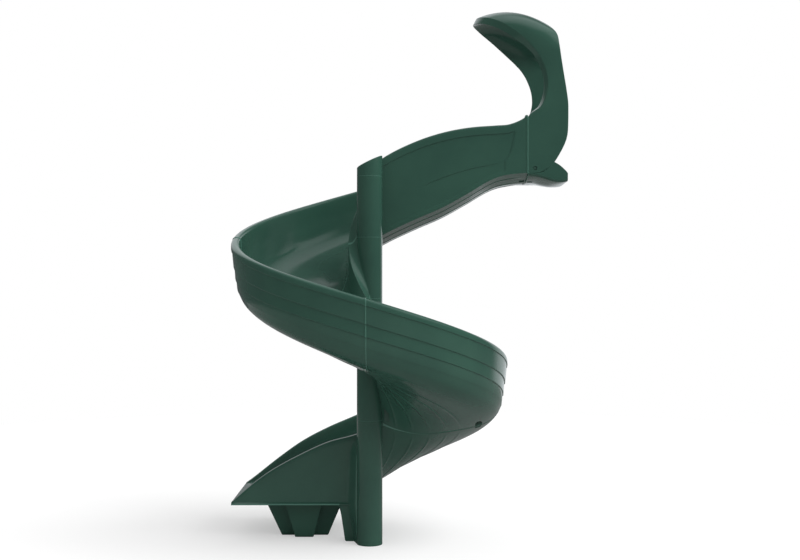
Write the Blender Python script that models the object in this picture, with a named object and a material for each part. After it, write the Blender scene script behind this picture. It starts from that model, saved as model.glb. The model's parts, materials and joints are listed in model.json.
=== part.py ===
"""Spiral slide with a hooded entrance, moulded in sections that stack on one centre post.

Metres, +Z up. The origin is the centre of the post's foot, on the ground. Seen from above the
chute winds anticlockwise on its way down: it runs in from the deck along -X behind the post,
turns a full circle round it, and runs out along -X behind the post again, at the bottom.
"""

import math

import bmesh
import bpy
from mathutils import Matrix, Vector

# Whole slide
QUARTER_DROP = 0.3556       # fall of the chute in a quarter turn, and height of one sleeve
EXIT_SEAM_Z = 0.7241        # top of the exit section's leg
QUARTERS = 4                # quarter-turn sections between the upper chute and the exit
RIM_R = 0.8025              # outside of the outer rim, from the post's axis
GAP = 0.0003                # between pieces that touch
SLIP = 0.0007               # radial, sleeve on post
BOLT_SLIP = 0.0004          # radial, bolt in its hole

# Moulded walls
SKIN = 0.010                # thickness of a moulded skin
RIM_WIDTH = 0.050           # rounded rim of the outer wall
FLOOR_DEPTH = 0.385         # channel floor at its lowest, below the rim
FLOOR_THICK = 0.043         # underside at its lowest, below the floor
HUB_WALL = 0.0545           # thickness of the inner wall
LAP_STEP = 0.004            # how far each band of the outer wall stands proud of the next
LAP_DEPTHS = (0.042, 0.136, 0.204)
WALL_FOOT = 0.168           # foot of the outer wall, above the lowest line of the underside
WALL_TAPER = 0.035          # outer wall leans in by this much at its foot
RIM_LEAD = ((90, 0.0), (190, 0.0), (255, 0.013), (320, 0.0), (380, -0.014), (430, -0.014),
            (450, -0.011))  # rim above the even fall, by angle
SHOULDER = 0.036            # inner wall's shoulder, above and below the rim's height
DRAIN_R = 0.006
DRAIN_AT = 0.40             # drain's distance from the post's axis

# Post and sleeves
POST_R = 0.0635
POST_WALL = 0.005
POST_HEAD = 0.010           # post stands this far below the top sleeve's lower edge
SLEEVE_WALL = 0.0103
SLEEVE_BITE = 0.0045        # how far the sleeve and the inner wall run into each other
BASE_PLATE_THICK = 0.012
CAP_THICK = 0.022
CAP_PLUG = 0.020            # cap's plug, down inside the post
TOP_SLOPE = 0.477           # fall of the slanted sleeve top along -X
TOP_RISE = 0.0885           # slanted top above the sleeve's lower edge, on the axis
SLEEVE_SIDES = 24
SLEEVE_TRIM = 0.020

# Worked out from the sizes above
UNDER_DEPTH = FLOOR_DEPTH + FLOOR_THICK
SLEEVE_R = POST_R + SLIP + SLEEVE_WALL
HUB_BACK = SLEEVE_R - SLEEVE_BITE
HUB_R = HUB_BACK + HUB_WALL     # channel face of the inner wall
TOP_SEAM_Z = EXIT_SEAM_Z + QUARTERS * QUARTER_DROP
CENTRE_R = (HUB_BACK + RIM_R) / 2
POST_TOP_Z = TOP_SEAM_Z - POST_HEAD

# Entrance, with heights above the top seam
SEAM_X = 0.934              # joint between the upper chute and the entrance
ENTRANCE_LENGTH = 0.235
LEVEL_BED = 0.4075          # rim reference where the straight run is level
RUN_BED = ((0.0, 0.0), (0.14, 0.0735), (0.29, 0.1425), (0.43, 0.2035), (SEAM_X - 0.354, 0.2865),
           (SEAM_X - 0.244, 0.3525), (SEAM_X - 0.174, 0.3835), (SEAM_X - 0.094, 0.4005),
           (SEAM_X, LEVEL_BED))
RUN_CORNER = 0.048          # near wall's lower corner on the straight run, above the lowest line
NEAR_TOP = ((0.0, 0.0585), (0.072, 0.1155), (0.18, 0.1755), (0.32, 0.2345), (SEAM_X - 0.474, 0.2755),
            (SEAM_X - 0.334, 0.2995), (SEAM_X - 0.184, 0.3105), (SEAM_X - 0.114, 0.3165),
            (SEAM_X - 0.048, 0.3405), (SEAM_X, 0.3705))
DRAIN_X = 0.50              # upper chute's drain

DECK_FACE_X = SEAM_X + ENTRANCE_LENGTH      # flat face that goes against the deck
LEVEL_BED_Z = TOP_SEAM_Z + LEVEL_BED
SILL_FLOOR_Z = LEVEL_BED_Z - FLOOR_DEPTH

# Exit, with runs from the last joint; heights are from the seam, from the bottom or from the ground
EXIT_LENGTH = 0.820
EXIT_BOTTOM_Z = 0.2140
EXIT_TIP_Z = EXIT_BOTTOM_Z + 0.015
EXIT_RIM_Z = EXIT_SEAM_Z - 0.0111
EXIT_FAR_TOP = ((0.0, EXIT_RIM_Z), (0.135, EXIT_RIM_Z - 0.058), (0.29, EXIT_RIM_Z - 0.125), (0.45, 0.504),
                (EXIT_LENGTH - 0.22, 0.399), (EXIT_LENGTH - 0.06, EXIT_TIP_Z + 0.044),
                (EXIT_LENGTH, EXIT_TIP_Z))
EXIT_NEAR_TOP = ((0.0, EXIT_RIM_Z - 0.041), (0.084, EXIT_RIM_Z - 0.083), (0.254, EXIT_RIM_Z - 0.130),
                 (0.434, 0.500), (EXIT_LENGTH - 0.236, 0.417), (EXIT_LENGTH - 0.12, EXIT_TIP_Z + 0.104),
                 (EXIT_LENGTH, EXIT_TIP_Z))
EXIT_FLOOR = ((0.0, EXIT_RIM_Z - FLOOR_DEPTH), (0.10, EXIT_BOTTOM_Z + 0.076), (0.25, EXIT_BOTTOM_Z + 0.039),
              (0.42, EXIT_BOTTOM_Z + 0.023), (EXIT_LENGTH - 0.20, EXIT_BOTTOM_Z + 0.017),
              (EXIT_LENGTH, EXIT_TIP_Z - 0.0015))

# Foot of the exit
FOOT_X = -0.397
FOOT_TOP = (0.229, 0.255)   # half lengths along X and Y at the top
FOOT_BASE = (0.140, 0.190)
RIB_TOP = (0.113, 0.300)    # middle rib, half lengths at the top
RIB_BASE = (0.055, 0.250)
FOOT_WALL = 0.010
FOOT_BOLT_REACH = 0.011     # bolt into the exit section

# Web between the exit and its leg, as outlines on the ground and at its top
WEB_TOP_Z = EXIT_BOTTOM_Z + 0.056
WEB_BASE = ((-0.058, 0.000), (-0.153, 0.068), (-0.153, 0.110), (-0.020, 0.110), (0.000, 0.055))
WEB_HEAD = ((-0.058, 0.000), (-0.198, 0.0705), (-0.198, 0.118), (-0.020, 0.118), (0.000, 0.055))

# Hood
HOOD_THICK = 0.040
HOOD_FORWARD = 0.020        # how far the inner edge of the opening leads the outer one
HOOD_BULGE = 0.050          # dome of the roof

# Sill under the hood, as lines of (distance past the joint, height above the sill's floor)
SILL_NEAR = ((0.0, -0.011), (0.056, -0.017), (0.101, -0.029), (0.141, -0.042), (0.188, -0.049),
             (ENTRANCE_LENGTH, -0.044))
SILL_LOWEST = ((0.0, -0.043), (0.056, -0.042), (0.116, -0.055), (0.156, -0.062), (0.216, -0.059),
               (ENTRANCE_LENGTH, -0.047))
SILL_FAR = -0.012
SILL_LIP = ((0.0, 0.116), (0.066, 0.101), (0.116, 0.081), (0.158, 0.068), (0.188, 0.050), (0.209, 0.032),
            (ENTRANCE_LENGTH, 0.007))
SILL_BACK = ((0.188, 0.052), (0.209, 0.034), (0.226, 0.017), (ENTRANCE_LENGTH, 0.009))
SIDE_BASE = ((0.0, 0.003), (0.068, 0.007), (0.111, 0.028), (0.158, 0.071))      # lower edge of the hood
HOOD_BOLT = (0.042, 0.034)
HOOD_VENT = (0.126, 0.231)

# Dished seat of the hood's bolt
DISH_R = 0.016
DISH_DEPTH = 0.011

# Fasteners
BOLT_R = 0.005
BOLT_FLANGE_R = 0.011
BOLT_HEX_R = 0.0090
HEAD_HEIGHT = 0.008
NUT_HEIGHT = 0.010
END_WALL = 0.010            # moulded wall that a joint bolt clamps
POCKET_R = 0.017
POCKET_LENGTH = 0.030
POCKET_REACH = 0.09         # how far the open side of a pocket runs down, out of the underside
# Bolts of a joint, as (distance from the axis, depth below the rim at the joint)
OUTER_BOLT = (RIM_R - 0.1675, UNDER_DEPTH - 0.066)
INNER_BOLT = (HUB_BACK + 0.0285, UNDER_DEPTH - 0.166)
SILL_BOLTS = ((HUB_BACK + 0.150, UNDER_DEPTH - 0.031), (RIM_R - 0.2025, UNDER_DEPTH - 0.062))
INNER_POCKET_R = 0.0135
INSERT_R = 0.009
INSERT_LENGTH = 0.022
INSERT_SET_BACK = 0.002     # insert below the face it is moulded into
OVERCUT = 0.010             # how far a cutter starts outside the face it cuts

# Faceting
STEPS = 10                  # rings in a quarter turn
CAVITY_STEPS = 6

# Colours
GREEN = (0.030, 0.075, 0.056)
STEEL = (0.55, 0.56, 0.57)
ZINC = (0.62, 0.62, 0.60)
BLACK = (0.02, 0.02, 0.02)


def clear_scene():
    for obj in list(bpy.data.objects):
        bpy.data.objects.remove(obj, do_unlink=True)


def material(name, colour, roughness, metallic):
    made = bpy.data.materials.new(name)
    made.use_nodes = True
    shader = made.node_tree.nodes["Principled BSDF"]
    shader.inputs["Base Color"].default_value = (*colour, 1.0)
    shader.inputs["Roughness"].default_value = roughness
    shader.inputs["Metallic"].default_value = metallic
    return made


def plastic(name):
    return material(name, GREEN, 0.38, 0.0)


def add_object(name, mesh_maker, surface=None):
    """A named object from a bmesh that mesh_maker fills."""
    mesh = bpy.data.meshes.new(name)
    bm = bmesh.new()
    mesh_maker(bm)
    bmesh.ops.recalc_face_normals(bm, faces=bm.faces)
    bm.to_mesh(mesh)
    bm.free()
    obj = bpy.data.objects.new(name, mesh)
    bpy.context.scene.collection.objects.link(obj)
    if surface is not None:
        mesh.materials.append(surface)
        mesh.shade_smooth()
        mesh.set_sharp_from_angle(angle=math.radians(35))
    return obj


def join(target, helpers):
    combine(target, helpers, "UNION")


def carve(target, helpers):
    combine(target, helpers, "DIFFERENCE")


def combine(target, helpers, operation):
    """One Boolean with all of the named helper shapes, kept in a collection that is not rendered."""
    name = f"{target.name}_{operation.lower()}"
    group = bpy.data.collections.new(name)
    bpy.context.scene.collection.children.link(group)
    group.hide_render = True
    for part, mesh_maker in helpers.items():
        helper = add_object(f"{target.name}_{part}", mesh_maker)
        bpy.context.scene.collection.objects.unlink(helper)
        group.objects.link(helper)
        helper.hide_render = True
        helper.display_type = "WIRE"
    step = target.modifiers.new(name, "BOOLEAN")
    step.operation = operation
    step.solver = "EXACT"
    step.operand_type = "COLLECTION"
    step.collection = group


# Curves and solids

def loft(bm, rings, closed_ends=True):
    """Skin over rings of equally many points, with a face over each end."""
    rows = [[bm.verts.new(point) for point in ring] for ring in rings]
    for row, following in zip(rows, rows[1:]):
        for j, corner in enumerate(row):
            k = (j + 1) % len(row)
            bm.faces.new((corner, following[j], following[k], row[k]))
    if closed_ends:
        bm.faces.new(rows[0])
        bm.faces.new(reversed(rows[-1]))
    return rows


def loft_ring(bm, rings):
    """Skin over rings, the last joined to the first."""
    loft(bm, rings, closed_ends=False)
    bmesh.ops.remove_doubles(bm, verts=bm.verts, dist=1e-6)


def circle(radius, z, sides, centre=(0.0, 0.0)):
    for i in range(sides):
        turn = 2 * math.pi * (i + 0.5) / sides
        yield Vector((centre[0] + radius * math.cos(turn), centre[1] + radius * math.sin(turn), z))


def cylinder(radius, low, high, sides=SLEEVE_SIDES, centre=(0.0, 0.0)):
    def fill(bm):
        loft(bm, [list(circle(radius, z, sides, centre)) for z in (low, high)])
    return fill


def tube(outer, inner, low, high, sides=SLEEVE_SIDES):
    def fill(bm):
        outline = ((outer, low), (outer, high), (inner, high), (inner, low), (outer, low))
        loft_ring(bm, [list(circle(radius, z, sides)) for radius, z in outline])
    return fill


def along(origin, direction, fill):
    """The same shape with its Z axis laid along direction from origin."""
    turn = Vector((0, 0, 1)).rotation_difference(Vector(direction).normalized()).to_matrix().to_4x4()

    def placed(bm):
        fill(bm)
        bmesh.ops.transform(bm, matrix=Matrix.Translation(Vector(origin)) @ turn, verts=bm.verts)
    return placed


def smooth_curve(points, count):
    """count points on a smooth curve through the given ones, ends included."""
    knots = [Vector(point) for point in points]
    knots = [2 * knots[0] - knots[1], *knots, 2 * knots[-1] - knots[-2]]
    spans = len(knots) - 3
    made = []
    for i in range(count):
        place = i * spans / (count - 1)
        k = min(int(place), spans - 1)
        t = place - k
        a, b, c, d = knots[k:k + 4]
        made.append(0.5 * (2 * b + (c - a) * t + (2 * a - 5 * b + 4 * c - d) * t**2
                           + (3 * b - a - 3 * c + d) * t**3))
    return made


def height_at(points, place):
    """Height of the smooth line through (place, height) points."""
    for k in range(len(points) - 1):
        if place <= points[k + 1][0] or k == len(points) - 2:
            break
    (x0, z0), (x1, z1) = points[k], points[k + 1]
    span = x1 - x0
    here = (z1 - z0) / span
    before = here if k == 0 else (z1 - points[k - 1][1]) / (x1 - points[k - 1][0])
    after = here if k == len(points) - 2 else (points[k + 2][1] - z0) / (points[k + 2][0] - x0)
    t = (place - x0) / span
    return ((2 * t**3 - 3 * t**2 + 1) * z0 + (t**3 - 2 * t**2 + t) * span * before
            + (3 * t**2 - 2 * t**3) * z1 + (t**3 - t**2) * span * after)


# Outline of the trough, as (distance from the axis, height) points

def under_line(bed, count, corner=0.060):
    """Underside of the floor, from the hub out to the foot of the outer wall."""
    lowest = bed - UNDER_DEPTH
    return smooth_curve(((HUB_BACK, lowest + corner), (HUB_BACK + 0.090, lowest + 0.026),
                         (HUB_BACK + 0.230, lowest), (CENTRE_R + 0.02375, lowest + 0.014),
                         (RIM_R - 0.1625, lowest + 0.050), (RIM_R - 0.0745, lowest + 0.100),
                         (RIM_R - WALL_TAPER, lowest + WALL_FOOT)), count)


def outer_wall(bed, top, laps):
    """Outside of the outer wall, from its foot to the rim, in overlapping bands."""
    foot = Vector((RIM_R - WALL_TAPER, bed - UNDER_DEPTH + WALL_FOOT))
    head = Vector((RIM_R, top - RIM_WIDTH / 2))
    if not laps:
        return [foot.lerp(head, 0.5)]
    line = []
    for depth in reversed(LAP_DEPTHS):
        share = (UNDER_DEPTH - WALL_FOOT - depth) / (UNDER_DEPTH - WALL_FOOT - RIM_WIDTH / 2)
        at = foot.lerp(head, share)
        line.append(at - Vector((LAP_STEP / 2, 0)))
        line.append(at + Vector((LAP_STEP / 2, 0.002)))
    return line


def rim_arc(top, count):
    centre = Vector((RIM_R - RIM_WIDTH / 2, top - RIM_WIDTH / 2))
    for i in range(count):
        turn = math.pi * i / (count - 1)
        yield centre + Vector((math.cos(turn), math.sin(turn))) * RIM_WIDTH / 2


def channel_line(floor, top, count):
    """Inside of the channel, from below the rim down, across the floor and up to the inner wall."""
    rise = (top - floor) / FLOOR_DEPTH
    inner_rim = RIM_R - RIM_WIDTH
    depths = ((inner_rim, RIM_WIDTH / 2), (inner_rim - 0.010, 0.140),
              (inner_rim - 0.048, FLOOR_DEPTH - 0.123),
              (RIM_R - 0.2025, FLOOR_DEPTH - 0.045), (CENTRE_R - 0.01625, FLOOR_DEPTH - 0.001),
              (HUB_R + 0.1555, FLOOR_DEPTH - 0.002), (HUB_R + 0.0455, FLOOR_DEPTH - 0.057),
              (HUB_R, FLOOR_DEPTH - 0.170))
    return smooth_curve([(r, floor + (FLOOR_DEPTH - depth) * rise) for r, depth in depths], count)[1:]


def shoulder_line(bed):
    """Top of the inner wall where it leans on the post's sleeve."""
    return [Vector((HUB_R, bed - SHOULDER)), Vector((HUB_R - 0.007, bed - SHOULDER + 0.013)),
            Vector((HUB_BACK + 0.008, bed + SHOULDER - 0.004)), Vector((HUB_BACK, bed + SHOULDER))]


def free_rim_line(top):
    """Top of the inner wall where it stands by itself."""
    round_off = 0.018
    return [Vector((HUB_R, top - round_off)), Vector((HUB_R - round_off, top)),
            Vector((HUB_BACK + round_off, top)), Vector((HUB_BACK, top - round_off))]


def trough_outline(bed, far_top, inner_top, fine=True, corner=0.060):
    line = under_line(bed, 10 if fine else 7, corner)
    line += outer_wall(bed, far_top, laps=fine)
    line += rim_arc(far_top, 5 if fine else 4)
    line += channel_line(bed - FLOOR_DEPTH, far_top, 12)
    return line + inner_top


def spiral_outline(bed):
    return trough_outline(bed, bed, shoulder_line(bed))


def inset(line, by):
    """The closed outline moved inwards, towards the material."""
    count = len(line)
    made = []
    for i, here in enumerate(line):
        before = (here - line[i - 1]).normalized()
        after = (line[(i + 1) % count] - here).normalized()
        normal = Vector((-before.y - after.y, before.x + after.x)).normalized()
        lean = max(0.5, normal.dot(Vector((-before.y, before.x))))
        made.append(here + normal * by / lean)
    return made


# Places of outlines in space

def in_turn(degrees, line, shift=0.0):
    """The outline at an angle round the post, moved by shift along the direction of travel."""
    turn = math.radians(degrees)
    out = Vector((math.cos(turn), math.sin(turn)))
    ahead = Vector((-math.sin(turn), math.cos(turn)))
    return [Vector((*(out * point.x + ahead * shift), point.y)) for point in line]


def in_run(x, line):
    """The outline across the straight runs behind the post."""
    return [Vector((x, point.x, point.y)) for point in line]


def seam_height(degrees):
    """Seam of the sleeves at a joint; the spiral starts behind the post at 90 degrees."""
    return TOP_SEAM_Z - QUARTER_DROP * (degrees - 90) / 90


def rim_height(degrees):
    return seam_height(degrees) + height_at(RIM_LEAD, degrees)


# Sections

def spiral_solid(first, last):
    def fill(bm):
        rings = []
        for i in range(STEPS + 1):
            degrees = first + (last - first) * i / STEPS
            shift = GAP / 2 if i == 0 else -GAP / 2 if i == STEPS else 0.0
            rings.append(in_turn(degrees, spiral_outline(rim_height(degrees)), shift))
        loft(bm, rings)
    return fill


def spiral_cavity(first, last):
    margin = 5.5

    def fill(bm):
        rings = []
        for i in range(CAVITY_STEPS + 1):
            degrees = first + margin + (last - first - 2 * margin) * i / CAVITY_STEPS
            bed = rim_height(degrees)
            line = under_line(bed, 7)[1:] + outer_wall(bed, bed, False) + list(rim_arc(bed, 4))
            line += channel_line(bed - FLOOR_DEPTH, bed, 12)[:-1]
            rings.append(in_turn(degrees, inset(line, SKIN)))
        loft(bm, rings)
    return fill


def pocket(radius, length, reach):
    """Round-topped pocket along +Z, open towards -Y."""
    def fill(bm):
        line = [Vector((radius * math.cos(math.pi * i / 6), radius * math.sin(math.pi * i / 6)))
                for i in range(7)]
        line += [Vector((-radius, -reach)), Vector((radius, -reach))]
        loft(bm, [[Vector((p.x, p.y, z)) for p in line] for z in (0.0, length)])
    return fill


def upright(origin, ahead, fill):
    """The shape with its Z axis laid along the level direction ahead, and its Y axis up."""
    forward = Vector((ahead[0], ahead[1], 0.0)).normalized()
    up = Vector((0, 0, 1))
    side = up.cross(forward)
    turn = Matrix((side, up, forward)).transposed().to_4x4()

    def placed(bm):
        fill(bm)
        bmesh.ops.transform(bm, matrix=Matrix.Translation(Vector(origin)) @ turn, verts=bm.verts)
    return placed


class Joint:
    """A face where two sections meet: the direction of travel through it, and its bolts."""

    def __init__(self, label, out, ahead, bed, through=(OUTER_BOLT,), into=(INNER_BOLT,), x=0.0):
        self.label = label
        self.out = Vector((*out, 0.0))
        self.ahead = Vector((*ahead, 0.0))
        self.bed = bed
        self.through = through
        self.into = into
        self.x = x

    def origin(self, place):
        radius, depth = place
        return self.out * radius + Vector((self.x, 0, self.bed - depth))


def spiral_joint(label, degrees):
    turn = math.radians(degrees)
    return Joint(label, (math.cos(turn), math.sin(turn)), (-math.sin(turn), math.cos(turn)),
                 rim_height(degrees))


def uphill_cuts(joint):
    """Pockets for the bolt heads and holes for the shanks, before the joint."""
    cuts = {}
    for i, place in enumerate(joint.through + joint.into):
        radius = POCKET_R if place in joint.through else INNER_POCKET_R
        origin = joint.origin(place)
        cuts[f"head_pocket_{i}"] = upright(origin - joint.ahead * END_WALL, -joint.ahead,
                                           pocket(radius, POCKET_LENGTH, POCKET_REACH))
        cuts[f"head_hole_{i}"] = along(origin - joint.ahead * (END_WALL + OVERCUT), joint.ahead, bolt_hole())
    return cuts


def downhill_cuts(joint):
    """Pockets for the nuts and blind holes for the inserts, after the joint."""
    cuts = {}
    for i, place in enumerate(joint.through):
        origin = joint.origin(place)
        cuts[f"nut_pocket_{i}"] = upright(origin + joint.ahead * END_WALL, joint.ahead,
                                          pocket(POCKET_R, POCKET_LENGTH, POCKET_REACH))
        cuts[f"nut_hole_{i}"] = along(origin - joint.ahead * OVERCUT, joint.ahead, bolt_hole())
    for i, place in enumerate(joint.into):
        cuts[f"insert_hole_{i}"] = along(joint.origin(place) - joint.ahead * OVERCUT, joint.ahead,
                                         blind_hole())
    return cuts


def bolt_hole():
    """Hole through the end wall of a section, and a little past both faces."""
    return cylinder(BOLT_R + BOLT_SLIP, 0.0, END_WALL + 2 * OVERCUT, 12)


def blind_hole():
    return cylinder(INSERT_R + GAP, 0.0, OVERCUT + INSERT_LENGTH + 0.006, 12)


def sleeve(low, high):
    """Sleeve of a section, longer than it ends up at each end that a neighbour's sleeve trims."""
    return tube(SLEEVE_R, POST_R + SLIP, low - SLEEVE_TRIM, high + SLEEVE_TRIM)


def clear_below(seam_z):
    return cylinder(SLEEVE_R + GAP, seam_z - 1.2, seam_z + GAP / 2)


def clear_above(seam_z):
    return cylinder(SLEEVE_R + GAP, seam_z - GAP / 2, seam_z + 1.2)


def drain(centre, low):
    """Drain hole in an underside, into the hollow of the moulding."""
    return cylinder(DRAIN_R, low - 0.02, low + 0.025, 8, centre)


def spiral_section(index, start_joint, end_joint):
    first = 90.0 * (index + 1)
    last = first + 90.0
    middle = math.radians((first + last) / 2)
    name = f"spiral_section_{index + 1}"
    section = add_object(name, spiral_solid(first, last), plastic(name))
    join(section, {"sleeve": sleeve(seam_height(last), seam_height(first))})
    carve(section, {
        "hollow": spiral_cavity(first, last),
        "clear_below": clear_below(seam_height(last)),
        "clear_above": clear_above(seam_height(first)),
        "drain": drain((DRAIN_AT * math.cos(middle), DRAIN_AT * math.sin(middle)),
                       rim_height((first + last) / 2) - UNDER_DEPTH),
        **downhill_cuts(start_joint),
        **uphill_cuts(end_joint),
    })
    return section


def upper_ring(x, fine=True):
    bed = TOP_SEAM_Z + height_at(RUN_BED, x)
    far_top = min(bed, TOP_SEAM_Z + NEAR_TOP[-1][1])
    blend = min(x / 0.05, 1.0)
    free = free_rim_line(TOP_SEAM_Z + height_at(NEAR_TOP, x))
    leaning = shoulder_line(bed)
    inner_top = [a.lerp(b, blend) for a, b in zip(leaning, free)]
    return trough_outline(bed, far_top, inner_top, fine, RUN_CORNER)


def upper_solid(bm):
    stations = [SEAM_X - GAP / 2] + [SEAM_X * (1 - i / 14) for i in range(1, 14)] + [0.035, GAP / 2]
    loft(bm, [in_run(x, upper_ring(x)) for x in stations])


def upper_cavity(bm):
    rings = []
    for i in range(9):
        x = SEAM_X - 0.06 - (SEAM_X - 0.13) * i / 8
        rings.append(in_run(x, inset(upper_ring(x, fine=False), SKIN)))
    loft(bm, rings)


def slanted_ring(radius, rise):
    points = circle(radius, 0.0, SLEEVE_SIDES)
    return [Vector((p.x, p.y, TOP_SEAM_Z + TOP_RISE + TOP_SLOPE * p.x + rise)) for p in points]


def top_sleeve(bm):
    """Sleeve of the upper chute, closed by a slanted top."""
    low = TOP_SEAM_Z - SLEEVE_TRIM
    bore = POST_R + SLIP
    loft(bm, [slanted_ring(bore, -SKIN), list(circle(bore, low, SLEEVE_SIDES)),
              list(circle(SLEEVE_R, low, SLEEVE_SIDES)), slanted_ring(SLEEVE_R, 0.0)])


def upper_chute(entrance_joint, end_joint):
    section = add_object("upper_chute", upper_solid, plastic("upper_chute"))
    join(section, {"sleeve": top_sleeve})
    carve(section, {
        "hollow": upper_cavity,
        "clear_below": clear_below(TOP_SEAM_Z),
        "drain": drain((DRAIN_X, DRAIN_AT), TOP_SEAM_Z + height_at(RUN_BED, DRAIN_X) - UNDER_DEPTH),
        **downhill_cuts(entrance_joint),
        **uphill_cuts(end_joint),
    })
    return section


def exit_outline(run, fine=True):
    """Outline of the exit section at a distance along its run; its bottom is level."""
    floor = height_at(EXIT_FLOOR, run)
    far_top = max(height_at(EXIT_FAR_TOP, run), floor + 0.001)
    near_top = max(height_at(EXIT_NEAR_TOP, run), floor + 0.001)
    low = EXIT_BOTTOM_Z
    edge = min(0.012, (floor - low) * 0.5)
    rim = min(RIM_WIDTH / 2, (far_top - low) * 0.4, max(far_top - floor, 0.004))
    taper = 0.032 * min(1.0, (far_top - low) / 0.35)
    line = [Vector((HUB_BACK + edge, low)), Vector((0.30, low)), Vector((0.55, low)),
            Vector((RIM_R - taper - edge, low)), Vector((RIM_R - taper, low + edge))]
    side = Vector((RIM_R - taper, low + edge))
    head = Vector((RIM_R, far_top - rim))
    line += [side.lerp(head, share) for share in ((0.33, 0.66) if fine else (0.5,))]
    count = 7 if fine else 4
    for i in range(count):
        turn = math.pi * i / (count - 1)
        line.append(Vector((RIM_R - RIM_WIDTH / 2 + RIM_WIDTH / 2 * math.cos(turn),
                            far_top - rim + rim * math.sin(turn))))
    rise = (far_top - rim - floor) / (FLOOR_DEPTH - RIM_WIDTH / 2)
    channel = channel_line(0.0, FLOOR_DEPTH, 12)
    line += [Vector((p.x, floor + p.y * rise)) for p in channel]
    foot = line[-1].y
    off = min(0.018, max((near_top - foot) * 0.5, 0.0005))
    line += [Vector((HUB_R, max(near_top - off, foot + 0.0004))), Vector((HUB_R - 0.018, near_top)),
             Vector((HUB_BACK + 0.018, near_top)), Vector((HUB_BACK, near_top - off)),
             Vector((HUB_BACK, low + edge))]
    return line


def exit_solid(bm):
    runs = [GAP / 2] + [EXIT_LENGTH * i / 13 for i in range(1, 14)]
    loft(bm, [in_run(-run, exit_outline(run)) for run in runs])


def exit_cavity(bm):
    """Hollow behind the deep end of the exit, where the body is thick enough to have one."""
    runs = [0.050 + 0.26 * i / 5 for i in range(6)]
    loft(bm, [in_run(-run, inset(exit_outline(run, fine=False), SKIN)) for run in runs])


def exit_web(bm):
    """Web that carries the exit on its leg; it stands square behind the leg and tapers down."""
    loft(bm, [[Vector((x, y, 0.0)) for x, y in WEB_BASE], [Vector((x, y, WEB_TOP_Z)) for x, y in WEB_HEAD]])


def exit_section(start_joint):
    section = add_object("exit_section", exit_solid, plastic("exit_section"))
    join(section, {"web": exit_web, "leg": cylinder(SLEEVE_R, 0.0, EXIT_SEAM_Z + SLEEVE_TRIM)})
    low, high = EXIT_BOTTOM_Z - OVERCUT, EXIT_BOTTOM_Z + FOOT_BOLT_REACH + 0.002
    foot_holes = {
        f"foot_hole_{name}": cylinder(BOLT_R + BOLT_SLIP, low, high, 12, place)
        for name, place in foot_bolt_places().items()
    }
    carve(section, {
        "hollow": exit_cavity,
        "clear_above": clear_above(EXIT_SEAM_Z),
        "bore": cylinder(POST_R + SLIP, -0.1, EXIT_SEAM_Z + 0.1),
        "drain": drain((-0.15, DRAIN_AT), EXIT_BOTTOM_Z),
        **downhill_cuts(start_joint),
        **foot_holes,
    })
    return section


# Foot

def foot_bolt_places():
    return {"near": (FOOT_X, CENTRE_R - 0.16), "far": (FOOT_X, CENTRE_R + 0.16)}


def foot_ring(body, rib, z, inward=0.0):
    a, b = body[0] - inward, body[1] - inward
    c, d = rib[0] - inward, rib[1] - inward
    corners = ((-c, -d), (c, -d), (c, -b), (a, -b), (a, b), (c, b), (c, d), (-c, d), (-c, b),
               (-a, b), (-a, -b), (-c, -b))
    return [Vector((FOOT_X + x, CENTRE_R + y, z)) for x, y in corners]


def foot_solid(bm):
    """Tapered foot, a moulded shell that is open below."""
    top = EXIT_BOTTOM_Z - GAP
    loft(bm, [foot_ring(FOOT_TOP, RIB_TOP, top - FOOT_WALL, FOOT_WALL),
              foot_ring(FOOT_BASE, RIB_BASE, 0.0, FOOT_WALL),
              foot_ring(FOOT_BASE, RIB_BASE, 0.0),
              foot_ring(FOOT_TOP, RIB_TOP, top)])


def exit_foot():
    foot = add_object("exit_foot", foot_solid, plastic("exit_foot"))
    carve(foot, {
        f"hole_{name}": cylinder(BOLT_R + BOLT_SLIP, EXIT_BOTTOM_Z - 0.05, EXIT_BOTTOM_Z + 0.01, 12, place)
        for name, place in foot_bolt_places().items()
    })
    return foot


# Entrance

def sill_ring(past):
    """Outline of the sill at a distance past the joint: underside, far side, far lip, floor, near lip,
    near side."""
    near = SILL_FLOOR_Z + height_at(SILL_NEAR, past)
    lowest = SILL_FLOOR_Z + height_at(SILL_LOWEST, past)
    lip = SILL_FLOOR_Z + height_at(SILL_LIP, past)
    far = SILL_FLOOR_Z + SILL_FAR
    rise = height_at(SILL_LIP, past) / 0.123
    edge = SIDE_BASE if past < SIDE_BASE[-1][0] else (SIDE_BASE[-1], *SILL_BACK)
    side = SILL_FLOOR_Z + height_at(edge, past) - 2 * GAP
    low, high = HUB_BACK, RIM_R
    inner_low, inner_high = low + HOOD_THICK + GAP, high - HOOD_THICK - GAP
    under = smooth_curve(((low + 0.010, near), (low + 0.090, lowest + (near - lowest) * 0.45),
                          (low + 0.230, lowest), (CENTRE_R + 0.02375, lowest + 0.014),
                          (high - 0.1625, lowest + 0.030), (high - 0.010, far)), 8)
    floor = SILL_FLOOR_Z
    channel = [(inner_high - 0.055, lip - 0.002), (high - 0.2025, floor + 0.045 * rise),
               (CENTRE_R - 0.01625, floor + 0.002), (low + 0.210, floor),
               (low + 0.120, floor + 0.040 * rise), (inner_low + 0.020, lip - 0.002)]
    ledge = max(lip, side + GAP)
    return [*under, (high, far + 0.010), (high, side), (inner_high, side), (inner_high, ledge),
            *channel, (inner_low, ledge), (inner_low, side), (low, side), (low, near + 0.008)]


def sill_solid(bm):
    stations = (GAP / 2, 0.034, 0.068, 0.111, SIDE_BASE[-1][0], 0.188, 0.209, ENTRANCE_LENGTH)
    loft(bm, [[Vector((SEAM_X + past, y, z)) for y, z in sill_ring(past)] for past in stations])


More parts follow.
